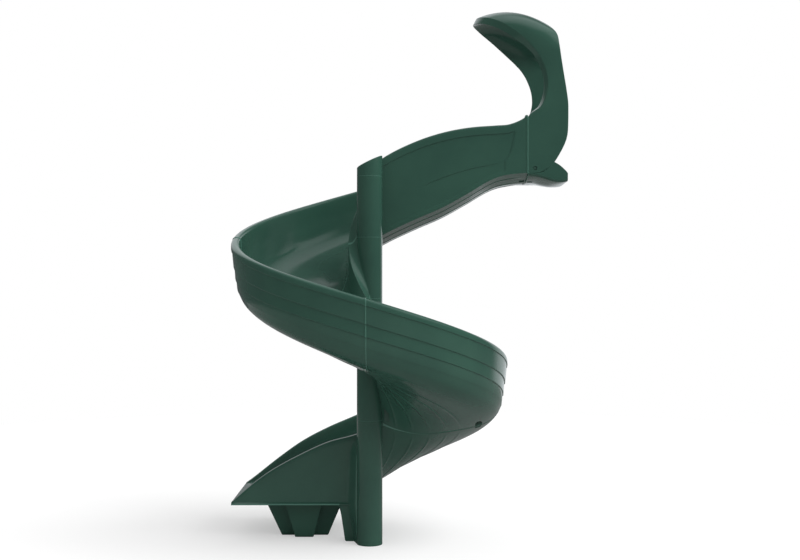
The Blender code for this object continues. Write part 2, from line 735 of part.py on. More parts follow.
def entrance_sill(joint):
    sill = add_object("entrance_sill", sill_solid, plastic("entrance_sill"))
    cuts = uphill_cuts(joint)
    for side in ("near", "far"):
        start = hood_bolt_origin(side) + hood_bolt_axis(side) * (HOOD_THICK - OVERCUT)
        cuts[f"{side}_insert_hole"] = along(start, hood_bolt_axis(side), blind_hole())
    carve(sill, cuts)
    return sill


def hood_bolt_origin(side):
    """Centre of the bolt on the outside face of the hood's side."""
    past, rise = HOOD_BOLT
    return Vector((SEAM_X + past, HUB_BACK if side == "near" else RIM_R, SILL_FLOOR_Z + rise))


def hood_bolt_axis(side):
    return Vector((0, 1, 0)) if side == "near" else Vector((0, -1, 0))


def hood_rows():
    """Lines across the near half of the hood, from its foot to the crown, as the front edge of the
    outside, the back edge, and the lean of the surface there, 0 upright to 90 level. An edge is its
    distance past the joint, how far it is drawn in from the side, and its height above the sill's floor."""
    return (
        ((SIDE_BASE[0][0], 0.0, SIDE_BASE[0][1]), (SIDE_BASE[1][0], 0.0, SIDE_BASE[1][1]), 0),
        ((0.0, 0.0, 0.026), (SIDE_BASE[2][0], 0.0, SIDE_BASE[2][1]), 0),
        ((0.0, 0.0, 0.081), (SIDE_BASE[3][0], 0.0, SIDE_BASE[3][1]), 0),
        ((0.0, 0.0, 0.201), (ENTRANCE_LENGTH - 0.008, 0.0, 0.203), 0),
        ((0.0, 0.0, 0.336), (ENTRANCE_LENGTH + 0.004, 0.0, 0.331), 0),
        ((0.078, 0.0, 0.401), (ENTRANCE_LENGTH + 0.003, 0.0, 0.421), 0),
        ((0.113, 0.0, 0.491), (ENTRANCE_LENGTH - 0.009, 0.0, 0.511), 0),
        ((0.111, 0.0, 0.586), (ENTRANCE_LENGTH - 0.024, 0.0, 0.601), 2),
        ((0.074, 0.002, 0.686), (ENTRANCE_LENGTH - 0.038, 0.0, 0.691), 8),
        ((0.018, 0.015, 0.766), (ENTRANCE_LENGTH - 0.048, 0.004, 0.766), 20),
        ((-0.054, 0.047, 0.843), (ENTRANCE_LENGTH - 0.058, 0.035, 0.836), 45),
        ((-0.144, 0.110, 0.918), (ENTRANCE_LENGTH - 0.086, 0.110, 0.891), 65),
        ((-0.234, 0.220, 0.971), (ENTRANCE_LENGTH - 0.116, 0.220, 0.936), 80),
        ((-0.284, CENTRE_R - HUB_BACK, 0.991), (ENTRANCE_LENGTH - 0.128, CENTRE_R - HUB_BACK, 0.959), 90),
    )


def hood_lines():
    """The rows of the whole hood, near foot to far foot, each with the direction into the arch."""
    near = []
    corner = Vector((SEAM_X, HUB_BACK, SILL_FLOOR_Z))
    for front, back, lean in hood_rows():
        inward = Vector((0.0, math.cos(math.radians(lean)), -math.sin(math.radians(lean))))
        near.append((corner + Vector(front), corner + Vector(back), inward, lean / 90))

    def mirrored(point):
        return Vector((point.x, 2 * CENTRE_R - point.y, point.z))

    far = [(mirrored(front), mirrored(back), Vector((0.0, -inward.y, inward.z)), crown)
           for front, back, inward, crown in reversed(near[:-1])]
    return near + far


def hood_loop(front, back, inward, crown, depths, shares, lead):
    """One closed line round the hood's wall: along the outside, back along the inside."""
    outside = []
    inside = []
    for share in shares:
        bulge = HOOD_BULGE * crown * 4 * share * (1 - share)
        at = front.lerp(back, share) - inward * bulge
        forward = (front - back).normalized() * lead * (1 - share) if lead else Vector()
        outside.append(at + inward * depths[0])
        inside.append(at + inward * depths[1] + forward)
    return outside + inside[::-1]


def hood_solid(bm):
    shares = (0.0, 0.16, 0.38, 0.62, 0.84, 1.0)
    rings = []
    for i, (front, back, inward, crown) in enumerate(hood_lines()):
        standing = front.x > SEAM_X + 0.02 or crown > 0
        lead = HOOD_FORWARD if standing else 0.0
        if not standing:
            front = front + Vector((GAP / 2, 0, 0))
        rings.append(hood_loop(front, back, inward, crown, (0.0, HOOD_THICK), shares, lead))
    loft(bm, rings)


def hood_cavity(bm):
    rings = []
    for front, back, inward, crown in hood_lines()[3:-3]:
        rings.append(hood_loop(front.lerp(back, 0.12), back.lerp(front, 0.10), inward, crown * 0.6,
                               (SKIN, HOOD_THICK - SKIN), (0.0, 0.5, 1.0), 0.0))
    loft(bm, rings)


def entrance_hood():
    hood = add_object("entrance_hood", hood_solid, plastic("entrance_hood"))
    cuts = {"hollow": hood_cavity}
    for side in ("near", "far"):
        origin = hood_bolt_origin(side)
        axis = hood_bolt_axis(side)
        vent_at = Vector((SEAM_X + HOOD_VENT[0], origin.y, SILL_FLOOR_Z + HOOD_VENT[1]))
        vent_at += axis * (HOOD_THICK - 0.02)
        cuts[f"{side}_bolt_hole"] = along(origin, axis, cylinder(BOLT_R + BOLT_SLIP, -OVERCUT,
                                                                 HOOD_THICK + OVERCUT, 12))
        cuts[f"{side}_bolt_dish"] = along(origin, axis, cylinder(DISH_R, -OVERCUT, DISH_DEPTH, 12))
        cuts[f"{side}_vent"] = along(vent_at, axis, cylinder(DRAIN_R, 0.0, 0.04, 8))
    carve(hood, cuts)
    return hood


# Post

def post_parts():
    steel = material("galvanised_steel", STEEL, 0.4, 1.0)
    base = cylinder(POST_R, 0.0, BASE_PLATE_THICK)
    add_object("post_base_plate", base, steel)
    post = tube(POST_R, POST_R - POST_WALL, BASE_PLATE_THICK + GAP, POST_TOP_Z)
    add_object("centre_post", post, steel)
    cap_low = POST_TOP_Z + GAP

    def cap(bm):
        plug_r = POST_R - POST_WALL - GAP
        profile = ((plug_r, cap_low - CAP_PLUG), (plug_r, cap_low), (POST_R, cap_low),
                   (POST_R, cap_low + CAP_THICK))
        loft(bm, [list(circle(radius, z, SLEEVE_SIDES)) for radius, z in profile])
    add_object("post_cap", cap, material("black_plastic", BLACK, 0.5, 0.0))


# Fasteners

def hexagon(radius, z):
    """Twelve points on a hexagon: its corners and the middles of its sides."""
    for i in range(12):
        turn = math.radians(30 * i + 15)
        reach = radius if i % 2 == 0 else radius * math.cos(math.radians(30))
        yield Vector((reach * math.cos(turn), reach * math.sin(turn), z))


def bolt_solid(length):
    """Flanged hexagon bolt along +Z; its flange seats on the plane z = 0."""
    def fill(bm):
        loft(bm, [list(hexagon(BOLT_HEX_R, -HEAD_HEIGHT)), list(hexagon(BOLT_HEX_R, -0.002)),
                  list(circle(BOLT_FLANGE_R, 0.0, 12)), list(circle(BOLT_R, 0.0, 12)),
                  list(circle(BOLT_R, length, 12))])
    return fill


def nut_solid(bm):
    """Flanged hexagon nut along +Z; its flange seats on the plane z = 0."""
    bore = BOLT_R + GAP
    loft_ring(bm, [list(circle(bore, 0.0, 12)), list(circle(BOLT_FLANGE_R, 0.0, 12)),
                   list(hexagon(BOLT_HEX_R, 0.002)), list(hexagon(BOLT_HEX_R, NUT_HEIGHT)),
                   list(circle(bore, NUT_HEIGHT, 12)), list(circle(bore, 0.0, 12))])


def insert_solid(bm):
    """Threaded insert along +Z, moulded into the end of a section."""
    bore = BOLT_R + GAP
    outline = ((bore, 0.0), (INSERT_R, 0.0), (INSERT_R, INSERT_LENGTH), (bore, INSERT_LENGTH), (bore, 0.0))
    loft_ring(bm, [list(circle(radius, z, 12)) for radius, z in outline])


def joint_fasteners(joint):
    zinc = material(f"zinc_{joint.label}", ZINC, 0.35, 1.0)
    seat = END_WALL + GAP
    for i, place in enumerate(joint.through):
        name = f"{joint.label}_{i + 1}"
        origin = joint.origin(place)
        bolt = bolt_solid(2 * seat + NUT_HEIGHT + 0.003)
        add_object(f"bolt_{name}", along(origin - joint.ahead * seat, joint.ahead, bolt), zinc)
        add_object(f"nut_{name}", along(origin + joint.ahead * seat, joint.ahead, nut_solid), zinc)
    for place in joint.into:
        origin = joint.origin(place)
        bolt = bolt_solid(seat + INSERT_LENGTH)
        insert_at = origin + joint.ahead * INSERT_SET_BACK
        add_object(f"hub_bolt_{joint.label}", along(origin - joint.ahead * seat, joint.ahead, bolt), zinc)
        add_object(f"hub_insert_{joint.label}", along(insert_at, joint.ahead, insert_solid), zinc)


def hood_fasteners():
    zinc = material("zinc_hood", ZINC, 0.35, 1.0)
    head_seat = DISH_DEPTH - GAP
    for side in ("near", "far"):
        origin = hood_bolt_origin(side)
        axis = hood_bolt_axis(side)
        bolt = bolt_solid(HOOD_THICK - head_seat + INSERT_LENGTH)
        insert_at = origin + axis * (HOOD_THICK + INSERT_SET_BACK)
        add_object(f"hood_bolt_{side}", along(origin + axis * head_seat, axis, bolt), zinc)
        add_object(f"hood_insert_{side}", along(insert_at, axis, insert_solid), zinc)


def foot_fasteners():
    zinc = material("zinc_foot", ZINC, 0.35, 1.0)
    under = EXIT_BOTTOM_Z - GAP - FOOT_WALL - GAP
    for name, (x, y) in foot_bolt_places().items():
        bolt = bolt_solid(FOOT_WALL + FOOT_BOLT_REACH)
        add_object(f"foot_bolt_{name}", along((x, y, under), (0, 0, 1), bolt), zinc)


def main():
    clear_scene()
    entrance_joint = Joint("entrance", (0, 1), (-1, 0), LEVEL_BED_Z, SILL_BOLTS, (), SEAM_X)
    joints = [spiral_joint(f"joint_{i + 1}", 90.0 * (i + 1)) for i in range(QUARTERS + 1)]
    post_parts()
    entrance_sill(entrance_joint)
    entrance_hood()
    upper_chute(entrance_joint, joints[0])
    for i in range(QUARTERS):
        spiral_section(i, joints[i], joints[i + 1])
    exit_section(joints[QUARTERS])
    exit_foot()
    for joint in [entrance_joint, *joints]:
        joint_fasteners(joint)
    hood_fasteners()
    foot_fasteners()


main()
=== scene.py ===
"""Looks of a spiral slide, rotomoulded in dark green polyethylene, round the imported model.

Metres, +Z up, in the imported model's frame: the origin is the centre of the post's foot, on the ground.
Seen from above the chute winds anticlockwise on its way down: it runs in from the deck along -X behind
the post, turns a full circle round it, and runs out along -X behind the post again.

A rotomoulded wall has no sharp edge, so every outline rounds its corners. A section starts with a
rounded edge and ends, on its way down, in a low bead, and the two meet in the fine line of a joint.
"""

import json
import math
from functools import partial

import bmesh
import bpy
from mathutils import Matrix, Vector

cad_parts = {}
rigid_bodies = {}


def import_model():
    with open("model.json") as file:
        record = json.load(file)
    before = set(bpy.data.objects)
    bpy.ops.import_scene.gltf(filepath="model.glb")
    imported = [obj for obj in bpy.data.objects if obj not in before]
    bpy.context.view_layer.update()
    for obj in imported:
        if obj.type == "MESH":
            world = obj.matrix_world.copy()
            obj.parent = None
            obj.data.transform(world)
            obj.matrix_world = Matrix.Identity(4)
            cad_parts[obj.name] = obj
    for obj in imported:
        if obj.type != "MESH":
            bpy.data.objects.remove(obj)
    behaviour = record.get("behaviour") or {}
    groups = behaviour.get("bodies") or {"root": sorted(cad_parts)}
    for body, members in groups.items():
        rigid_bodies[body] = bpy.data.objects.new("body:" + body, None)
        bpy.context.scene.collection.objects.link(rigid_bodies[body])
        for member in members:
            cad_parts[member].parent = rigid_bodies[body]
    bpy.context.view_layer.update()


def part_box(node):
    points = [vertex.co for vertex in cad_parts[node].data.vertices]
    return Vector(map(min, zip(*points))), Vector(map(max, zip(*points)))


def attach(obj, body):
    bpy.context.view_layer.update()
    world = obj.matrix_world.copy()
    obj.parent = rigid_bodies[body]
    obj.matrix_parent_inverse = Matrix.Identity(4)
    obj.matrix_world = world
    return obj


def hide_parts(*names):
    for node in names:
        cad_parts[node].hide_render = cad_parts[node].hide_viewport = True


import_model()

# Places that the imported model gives
SILL_LOW, SILL_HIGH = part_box("entrance_sill")
SEAM_X = SILL_LOW.x  # joint between the upper chute and the entrance
DECK_FACE_X = SILL_HIGH.x  # flat face against the deck
NEAR_FACE = SILL_LOW.y  # near face of both straight runs
RIM_R = SILL_HIGH.y  # outside of the outer rim, from the post's axis
CENTRE_Y = (NEAR_FACE + RIM_R) / 2
TOP_SEAM_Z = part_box("centre_post")[1].z + 0.010
EXIT_END_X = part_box("exit_section")[0].x
FOOT_LOW, FOOT_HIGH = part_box("exit_foot")
HOOD_LOW, HOOD_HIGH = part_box("entrance_hood")
FOOT_X = (FOOT_LOW.x + FOOT_HIGH.x) / 2

# Chute
QUARTER_DROP = 0.3556
HUB_R = 0.1245  # channel face of the inner wall
SLEEVE_R = 0.0745
BORE_R = 0.0642
GAP = 0.0003
RIM_WIDTH = 0.050
UNDER_DEPTH = 0.428
FLOOR_DEPTH = 0.385
WALL_FOOT = 0.168  # height of the outer wall's foot above the lowest line
WALL_TAPER = 0.035
HUB_CORNER = 0.060  # height of the underside's inner edge above the lowest line
UNDERSIDE = ((0.160, 0.026), (0.300, 0.0), (0.460, 0.014), (0.640, 0.050), (0.728, 0.100))
UNDERSIDE_POINTS = 201
# The channel's line, as distance from the axis and depth below the rim
CHANNEL = ((RIM_R - RIM_WIDTH, RIM_WIDTH / 2), (RIM_R - RIM_WIDTH - 0.010, 0.140),
           (RIM_R - RIM_WIDTH - 0.048, 0.262), (0.600, 0.340), (0.420, FLOOR_DEPTH - 0.001),
           (0.280, FLOOR_DEPTH - 0.002), (0.170, 0.328), (HUB_R, 0.215))
RIM_SHAPE = 2.4  # 2 would be a half circle
LAP_STEP = 0.0055  # how far each band of the outer wall stands proud of the next
LAP_RISE = 0.0015  # height of the step between two bands
LAP_DEPTHS = (0.040, 0.136, 0.204)
HUB_LIP = 0.006  # rounding of the inner wall's top
SHOULDER = 0.036  # half the height of the hollow that runs up the sleeve
SHOULDER_TIP = ((0.004, -0.001), (0.002, 0.0), (0.0, -0.003))  # its thin upper edge
RIM_LEAD = ((90, 0.0), (190, 0.0), (255, 0.013), (320, 0.0), (380, -0.014), (430, -0.014),
            (450, -0.011))
RIB_RADII = (0.150, 0.250, 0.350, 0.450, 0.530)  # ribs of the underside, from the post's axis
RIB_HEIGHT = 0.0042
RIB_REACH = 0.010  # half of a rib's width
RIB_FADE = 14  # degrees over which a rib runs out at each end of a section
SPIRAL_STATIONS = 56

# Rounded edges of a rotomoulded wall. Those of a section's ends are given as steps, depth below the
# surface and distance from the end. A section ends on its way down in a low bead.
END_BEAD = ((0.0004, 0.0), (-0.0012, 0.0018), (-0.0026, 0.0042), (-0.0024, 0.0060), (-0.0008, 0.0105),
            (0.0, 0.0150))
LEAD_EDGE = ((0.0008, 0.0), (0.0002, 0.0003), (0.0, 0.0010))
DECK_EDGE = ((0.0018, 0.0), (0.0005, 0.0015), (0.0, 0.0048))
PLAIN_END = ((0.0, 0.0),)
SMOOTH_BELOW = 50  # degrees between two faces
SLEEVE_EDGE = 0.0012
TOP_EDGE = 0.006
LAP_EDGE = 0.0018

# Bolts of the joints, as distance from the axis and depth below the rim, and their pockets
OUTER_BOLT = (0.635, 0.362)
INNER_BOLT = (0.0985, 0.262)
SILL_BOLTS = ((0.220, 0.397), (0.600, 0.366))
END_WALL = 0.010
POCKET_R = 0.017
POCKET_LENGTH = 0.030
HEAD_POCKET_R = 0.021  # an uphill pocket of the spiral, which runs out of the sloping underside
HEAD_POCKET_LENGTH = 0.110
POCKET_REACH = 0.09  # how far a pocket runs down, out of the underside
INNER_POCKET_R = 0.0135
DRAIN_R = 0.006
DRAIN_DEPTH = 0.040
DRAIN_AT = 0.40  # drain's distance from the post's axis
DRAIN_X = 0.50  # upper chute's drain
EXIT_DRAIN_X = -0.15
CUT_CLEAR = 0.010  # how far a cutter stands out of the face that it cuts

# Upper run
LEVEL_BED_Z = 2.554
RUN_BED = ((0.0, TOP_SEAM_Z), (0.14, 2.220), (0.29, 2.289), (0.43, 2.350), (0.58, 2.433), (0.69, 2.499),
           (0.76, 2.530), (0.84, 2.547), (SEAM_X, LEVEL_BED_Z))
RUN_CORNER = 0.380
RUN_FADE = 0.12  # over which ribs and bands run out before the entrance
NEAR_TOP = ((0.0, 2.205), (0.072, 2.262), (0.18, 2.322), (0.32, 2.381), (0.46, 2.422), (0.60, 2.446),
            (0.75, 2.457), (0.82, 2.463), (0.886, 2.487), (SEAM_X, 2.517))
NEAR_RIM = 0.018  # rounding of the near wall's top
NEAR_LIP = 0.034  # band along the near wall's top edge
PANEL_DEPTH = 0.0045  # how far the near wall's field lies behind the band
PANEL_EDGE = 0.012  # over how much of X the field runs out at its end
PANEL_END = ((0.0, 0.868), (0.14, 0.838), (0.24, 0.780))  # depth below the top, and x
SECOND_LAP = ((0.325, 0.263), (0.770, 0.206))  # x, and depth below the top

# Exit
EXIT_BOTTOM_Z = FOOT_HIGH.z + GAP
EXIT_SEAM_Z = TOP_SEAM_Z - 4 * QUARTER_DROP
EXIT_FAR_TOP = ((0.0, 0.7130), (0.135, 0.655), (0.29, 0.588), (0.45, 0.504), (0.60, 0.399),
                (0.76, 0.273), (0.82, 0.2290))
EXIT_NEAR_TOP = ((0.0, 0.672), (0.084, 0.630), (0.254, 0.583), (0.434, 0.500), (0.584, 0.417),
                 (0.70, 0.333), (0.82, 0.2290))
EXIT_FLOOR = ((0.0, 0.3280), (0.10, 0.2900), (0.25, 0.2530), (0.42, 0.2370), (0.62, 0.2310),
              (0.82, 0.2275))
EXIT_LIP = (0.011, 0.016)  # how far the near wall's lower edge stands out, and its height
EXIT_EDGE = 0.014  # rounding of the lower edges
EXIT_TAPER = 0.032
EXIT_TALL = 0.35  # height from which the far wall has its full taper
WEB_START = -0.0735  # inside the leg's skin
WEB_HOLLOW = ((0.0, -0.004), (0.16, 0.008), (0.45, 0.040), (0.74, 0.066))  # share of the way, and Y
WEB_TOP_Z = EXIT_SEAM_Z - 0.108
WEB_FADE = 0.10  # over how much of its height the web runs out at its top
# Height, and X where the hollow meets the near wall, and where the web ends below the exit
WEB_REACH = ((0.0, -0.100), (0.10, -0.120), (0.24, -0.152), (0.45, -0.134), (WEB_TOP_Z, -0.110))
WEB_END = ((0.0, -0.1470), (0.10, -0.1620), (0.165, -0.1725), (0.195, -0.1810), (0.207, -0.1890),
           (EXIT_BOTTOM_Z, -0.2060))

# Foot of the exit, as half lengths along X and Y
FOOT_TOP = (0.229, 0.255)
FOOT_BASE = (0.140, 0.190)
RIB_TOP = (0.113, 0.300)
RIB_BASE = (0.055, 0.250)
FOOT_WALL = 0.010
FOOT_EDGE = 0.007

# Top of the column
TOP_SLOPE = 0.477
TOP_RISE = 0.0885

# Entrance
SILL_FLOOR_Z = LEVEL_BED_Z - FLOOR_DEPTH
SILL_NEAR = ((SEAM_X, 2.158), (0.990, 2.152), (1.035, 2.140), (1.075, 2.127), (1.122, 2.120),
             (DECK_FACE_X, 2.125))
SILL_LOWEST = ((SEAM_X, 2.126), (0.990, 2.127), (1.050, 2.114), (1.090, 2.107), (1.150, 2.110),
               (DECK_FACE_X, 2.122))
SILL_FAR_Z = 2.157
SILL_EDGE = 0.004
SILL_RISE = 0.123  # height of the lip above the floor at the joint
SILL_LIP = ((SEAM_X, 2.285), (1.000, 2.270), (1.050, 2.250), (1.092, 2.237), (1.122, 2.219), (1.143, 2.201),
            (DECK_FACE_X, 2.176))
SILL_BACK = ((1.122, 2.221), (1.143, 2.203), (1.160, 2.186), (DECK_FACE_X, 2.178))
SIDE_BASE = ((SEAM_X, 2.172), (1.002, 2.176), (1.045, 2.197), (1.092, 2.240))
HOOD_THICK = 0.040
HOOD_FORWARD = 0.020
HOOD_BULGE = 0.050
HOOD_NECK_Z = 2.60  # below it the front edge follows the joint
HOOD_EDGE = 0.009
HOOD_SEAM_EDGE = 0.0012
HOOD_BOLT = (0.042, 0.034)  # past the joint, and above the sill's floor
HOOD_VENT = (0.126, 0.231)
VENT_DEPTH = 0.020
DISH_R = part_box("hood_bolt_near")[1].z - SILL_FLOOR_Z - HOOD_BOLT[1] + 0.0006
DISH_DEPTH = 0.011

# Painted highlight: a paler band along the joints, on each side of a joint, in place of the light that their
# rounded edges catch
SEAM_HIGHLIGHT_REACH = 0.0025
EXIT_HIGHLIGHT_HEIGHT = 0.009  # height of the painted highlight along the exit's lower edge
EXIT_HIGHLIGHT_END = -0.180  # X where that painted highlight ends, short of the web

# Camera, as the photograph gives it
PHOTO_WIDTH = 800
PHOTO_FOCUS = 1200  # pixels
CAMERA_AT = (0.1774, -7.013, 1.542)
SENSOR = 36.0

# Light
WORLD_LIGHT = 0.70
ROOM_DIM = 0.12  # what a reflection sees in front of the object
KEY_LIGHT = 2.6
KEY_SPREAD = 55  # degrees across
KEY_FROM = (0.65, -0.34, 0.68)
FLOOR_RADIUS = 7.0
FLOOR_GREY = 0.54
FLOOR_DIM = 0.25  # the floor's grey in a reflection
FLOOR_LIFT = 0.42  # what the camera sees of the floor beyond its own light
PANEL_TINT = (0.94, 0.97, 1.0, 1.0)
# Where a reflection sees a panel, with the cosines at the panel's edge and inside it
SOFTBOXES = (((0.45, 0.89, 0.05), 0.84, 0.93), ((-0.30, 0.80, 0.52), 0.88, 0.97),
             ((0.10, 0.10, 0.99), 0.78, 0.96), (KEY_FROM, 0.86, 0.97))


# Curves

def smooth_curve(points, count):
    """count points on a smooth curve through the given ones, ends included."""
    knots = [Vector(point) for point in points]
    knots = [2 * knots[0] - knots[1], *knots, 2 * knots[-1] - knots[-2]]
    spans = len(knots) - 3
    made = []
    for i in range(count):
        place = i * spans / (count - 1)
        k = min(int(place), spans - 1)
        t = place - k
        a, b, c, d = knots[k:k + 4]
        made.append(0.5 * (2 * b + (c - a) * t + (2 * a - 5 * b + 4 * c - d) * t**2
                           + (3 * b - a - 3 * c + d) * t**3))
    return made


def height_at(points, place):
    """Height of the smooth line through (place, height) points."""
    for k in range(len(points) - 1):
        if place <= points[k + 1][0] or k == len(points) - 2:
            break
    (x0, z0), (x1, z1) = points[k], points[k + 1]
    span = x1 - x0
    here = (z1 - z0) / span
    before = here if k == 0 else (z1 - points[k - 1][1]) / (x1 - points[k - 1][0])
    after = here if k == len(points) - 2 else (points[k + 2][1] - z0) / (points[k + 2][0] - x0)
    t = (place - x0) / span
    return ((2 * t**3 - 3 * t**2 + 1) * z0 + (t**3 - 2 * t**2 + t) * span * before
            + (3 * t**2 - 2 * t**3) * z1 + (t**3 - t**2) * span * after)


def ease(share):
    """0 below 0, 1 above 1, and a smooth step between."""
    t = min(max(share, 0.0), 1.0)
    return t * t * (3 - 2 * t)


def rounded(points, radius, steps=3):
    """The open line with each inner corner rounded, and a point on each side that keeps the rest flat."""
    line = [Vector(point) for point in points]
    made = [line[0]]
    for before, here, after in zip(line, line[1:], line[2:]):
        back, ahead = before - here, after - here
        reach = min(radius, back.length * 0.3, ahead.length * 0.3)
        start, end = back.normalized() * reach, ahead.normalized() * reach
        made.append(here + start * 1.6)
        for i in range(steps + 1):
            t = i / steps
            made.append(here + start * (1 - t)**2 + end * t**2)
        made.append(here + end * 1.6)
    made.append(line[-1])
    return made


def inset(line, by):
    """The closed outline moved inwards, towards the material."""
    if not by:
        return line
    count = len(line)
    made = []
    for i, here in enumerate(line):
        before = (here - line[i - 1]).normalized()
        after = (line[(i + 1) % count] - here).normalized()
        normal = Vector((-before.y - after.y, before.x + after.x)).normalized()
        lean = max(0.7, normal.dot(Vector((-before.y, before.x))))
        made.append(here + normal * by / lean)
    return made


# Outline of the trough, as (distance from the axis, height) points

def underside(bed, corner, rib):
    """Underside of the floor, with its ribs, from the hub out to the foot of the outer wall."""
    lowest = bed - UNDER_DEPTH
    knots = ((NEAR_FACE, corner), *UNDERSIDE, (RIM_R - WALL_TAPER, WALL_FOOT))
    curve = smooth_curve([(out, lowest + up) for out, up in knots], UNDERSIDE_POINTS)
    for point in curve:
        for radius in RIB_RADII:
            away = abs(point.x - radius) / RIB_REACH
            if away < 1:
                point.y -= RIB_HEIGHT * rib * math.cos(away * math.pi / 2)**2
    return curve


def outer_wall(bed, top, step):
    """Outside of the outer wall, from its foot to the rim, in overlapping bands."""
    foot = Vector((RIM_R - WALL_TAPER, bed - UNDER_DEPTH + WALL_FOOT))
    head = Vector((RIM_R, top - RIM_WIDTH / 2))
    corners = [foot]
    for depth in reversed(LAP_DEPTHS):
        share = (UNDER_DEPTH - WALL_FOOT - depth) / (UNDER_DEPTH - WALL_FOOT - RIM_WIDTH / 2)
        at = foot.lerp(head, share)
        corners.append(at - Vector((step / 2, 0.0)))
        corners.append(at + Vector((step / 2, LAP_RISE)))
    corners.append(head)
    return rounded(corners, LAP_EDGE)[1:-1]


def rim(top, count=15):
    """Rim of the outer wall, a little squarer than a half circle."""
    half = RIM_WIDTH / 2
    for i in range(count):
        turn = math.pi * i / (count - 1)
        across, up = math.cos(turn), math.sin(turn)
        power = 2 / RIM_SHAPE
        yield Vector((RIM_R - half + half * math.copysign(abs(across)**power, across),
                      top - half + half * abs(up)**power))


def channel(floor, top, count=70):
    """Inside of the channel, from below the rim down, across the floor and up to the inner wall."""
    rise = (top - floor) / FLOOR_DEPTH
    return smooth_curve([(out, floor + (FLOOR_DEPTH - depth) * rise) for out, depth in CHANNEL], count)[1:]


def hub_shoulder(bed):
    """Top of the inner wall: a rounded lip, then a hollow that runs up the post's sleeve."""
    low = Vector((HUB_R - HUB_LIP, bed - SHOULDER))
    high, *tip = [Vector((NEAR_FACE + out, bed + SHOULDER + up)) for out, up in SHOULDER_TIP]
    line = [low + Vector((HUB_LIP * math.cos(turn), HUB_LIP * math.sin(turn) - HUB_LIP))
            for turn in (math.pi / 2 * i / 5 for i in range(5))]
    for i in range(13):
        turn = math.pi / 2 * i / 12
        line.append(Vector((low.x + (high.x - low.x) * math.sin(turn),
                            high.y + (low.y - high.y) * math.cos(turn))))
    return line + tip


def spiral_outline(bed, rib):
    return [*underside(bed, HUB_CORNER, rib), *outer_wall(bed, bed, LAP_STEP), *rim(bed),
            *channel(bed - FLOOR_DEPTH, bed), *hub_shoulder(bed)]


# Pieces are extruded from a disc along their run

def leave_edit():
    """Back to object mode, with nothing selected."""
    if bpy.context.mode != "OBJECT":
        bpy.ops.object.mode_set(mode="OBJECT")
    bpy.ops.object.select_all(action="DESELECT")


def choose_only(piece):
    bpy.ops.object.select_all(action="DESELECT")
    piece.select_set(True)
    bpy.context.view_layer.objects.active = piece


def ring_ahead(bm, last):
    """The selected disc's corners, in the order of the corners that they were extruded from."""
    bm.verts.index_update()
    came_from = {}
    for corner in bm.verts:
        if corner.select:
            for edge in corner.link_edges:
                other = edge.other_vert(corner)
                if not other.select:
                    came_from[other.index] = corner
    return [came_from[index] for index in last]


def sweep(name, outlines):
    """A disc laid on the first outline and extruded to each of the next, station by station."""
    leave_edit()
    bpy.ops.mesh.primitive_circle_add(vertices=len(outlines[0]), fill_type="NGON")
    piece = bpy.context.object
    piece.name = name
    bpy.ops.object.mode_set(mode="EDIT")
    bpy.ops.mesh.select_all(action="SELECT")
    for i, outline in enumerate(outlines):
        if i:
            bpy.ops.mesh.extrude_region_move()
        bm = bmesh.from_edit_mesh(piece.data)
        ring = ring_ahead(bm, last) if i else list(bm.verts)
        for corner, place in zip(ring, outline):
            corner.co = place
        bm.verts.index_update()
        last = [corner.index for corner in ring]
    bmesh.update_edit_mesh(piece.data)
    bpy.ops.mesh.select_all(action="SELECT")
    bpy.ops.mesh.normals_make_consistent(inside=False)
    bpy.ops.object.mode_set(mode="OBJECT")
    return piece


def choose(piece, keep, kind="EDGE"):
    """Selects the edges or faces of the piece that keep says, and leaves it in edit mode."""
    choose_only(piece)
    bpy.ops.object.mode_set(mode="EDIT")
    bpy.ops.mesh.select_mode(type=kind)
    bpy.ops.mesh.select_all(action="DESELECT")
    bm = bmesh.from_edit_mesh(piece.data)
    for item in bm.edges if kind == "EDGE" else bm.faces:
        item.select_set(keep(item))
    bm.select_flush_mode()
    bmesh.update_edit_mesh(piece.data)


def cut(piece, cutters):
    """Joins the cutters, cuts them out of the piece, and removes them."""
    choose_only(cutters[0])
    for cutter in cutters:
        cutter.select_set(True)
    bpy.ops.object.join()
    choose_only(piece)
    step = piece.modifiers.new("cut", "BOOLEAN")
    step.operation = "DIFFERENCE"
    step.solver = "EXACT"
    step.object = cutters[0]
    bpy.ops.object.modifier_apply(modifier=step.name)
    bpy.data.objects.remove(cutters[0], do_unlink=True)
    return piece


def rounded_run(outline_at, places, lead_in, lead_out):
    """Outlines along a run, with the steps of its two rounded ends."""
    made = [outline_at(places[0], by, along) for by, along in lead_in]
    made += [outline_at(place, 0.0, 0.0) for place in places[1:-1]]
    return made + [outline_at(places[-1], by, -along) for by, along in reversed(lead_out)]


def round_hole(centre, axis, radius, depth):
    """Cutter for a round hole of a depth along the axis, which also clears the face it starts from."""
    leave_edit()
    axis = Vector(axis).normalized()
    at = Vector(centre) + axis * (depth - CUT_CLEAR) / 2
    bpy.ops.mesh.primitive_cylinder_add(vertices=40, radius=radius, depth=depth + CUT_CLEAR, location=at,
                                        rotation=axis.to_track_quat("Z", "Y").to_euler())
    bpy.ops.object.transform_apply(location=True, rotation=True, scale=True)
    return bpy.context.object


def drain(x, y, low):
    return round_hole((x, y, low), (0, 0, 1), DRAIN_R, DRAIN_DEPTH)


def pocket(origin, ahead, radius, length=POCKET_LENGTH):
    """Cutter for a round-topped pocket behind an end wall, open at the underside."""
    forward = Vector((*ahead, 0.0)).normalized()
    side = Vector((0, 0, 1)).cross(forward)
    line = [side * (radius * math.cos(turn)) + Vector((0, 0, radius * math.sin(turn)))
            for turn in (math.pi * i / 12 for i in range(13))]
    line += [side * -radius - Vector((0, 0, POCKET_REACH)), side * radius - Vector((0, 0, POCKET_REACH))]
    start = Vector(origin) + forward * END_WALL
    return sweep("pocket", [[start + point for point in line],
                            [start + forward * length + point for point in line]])


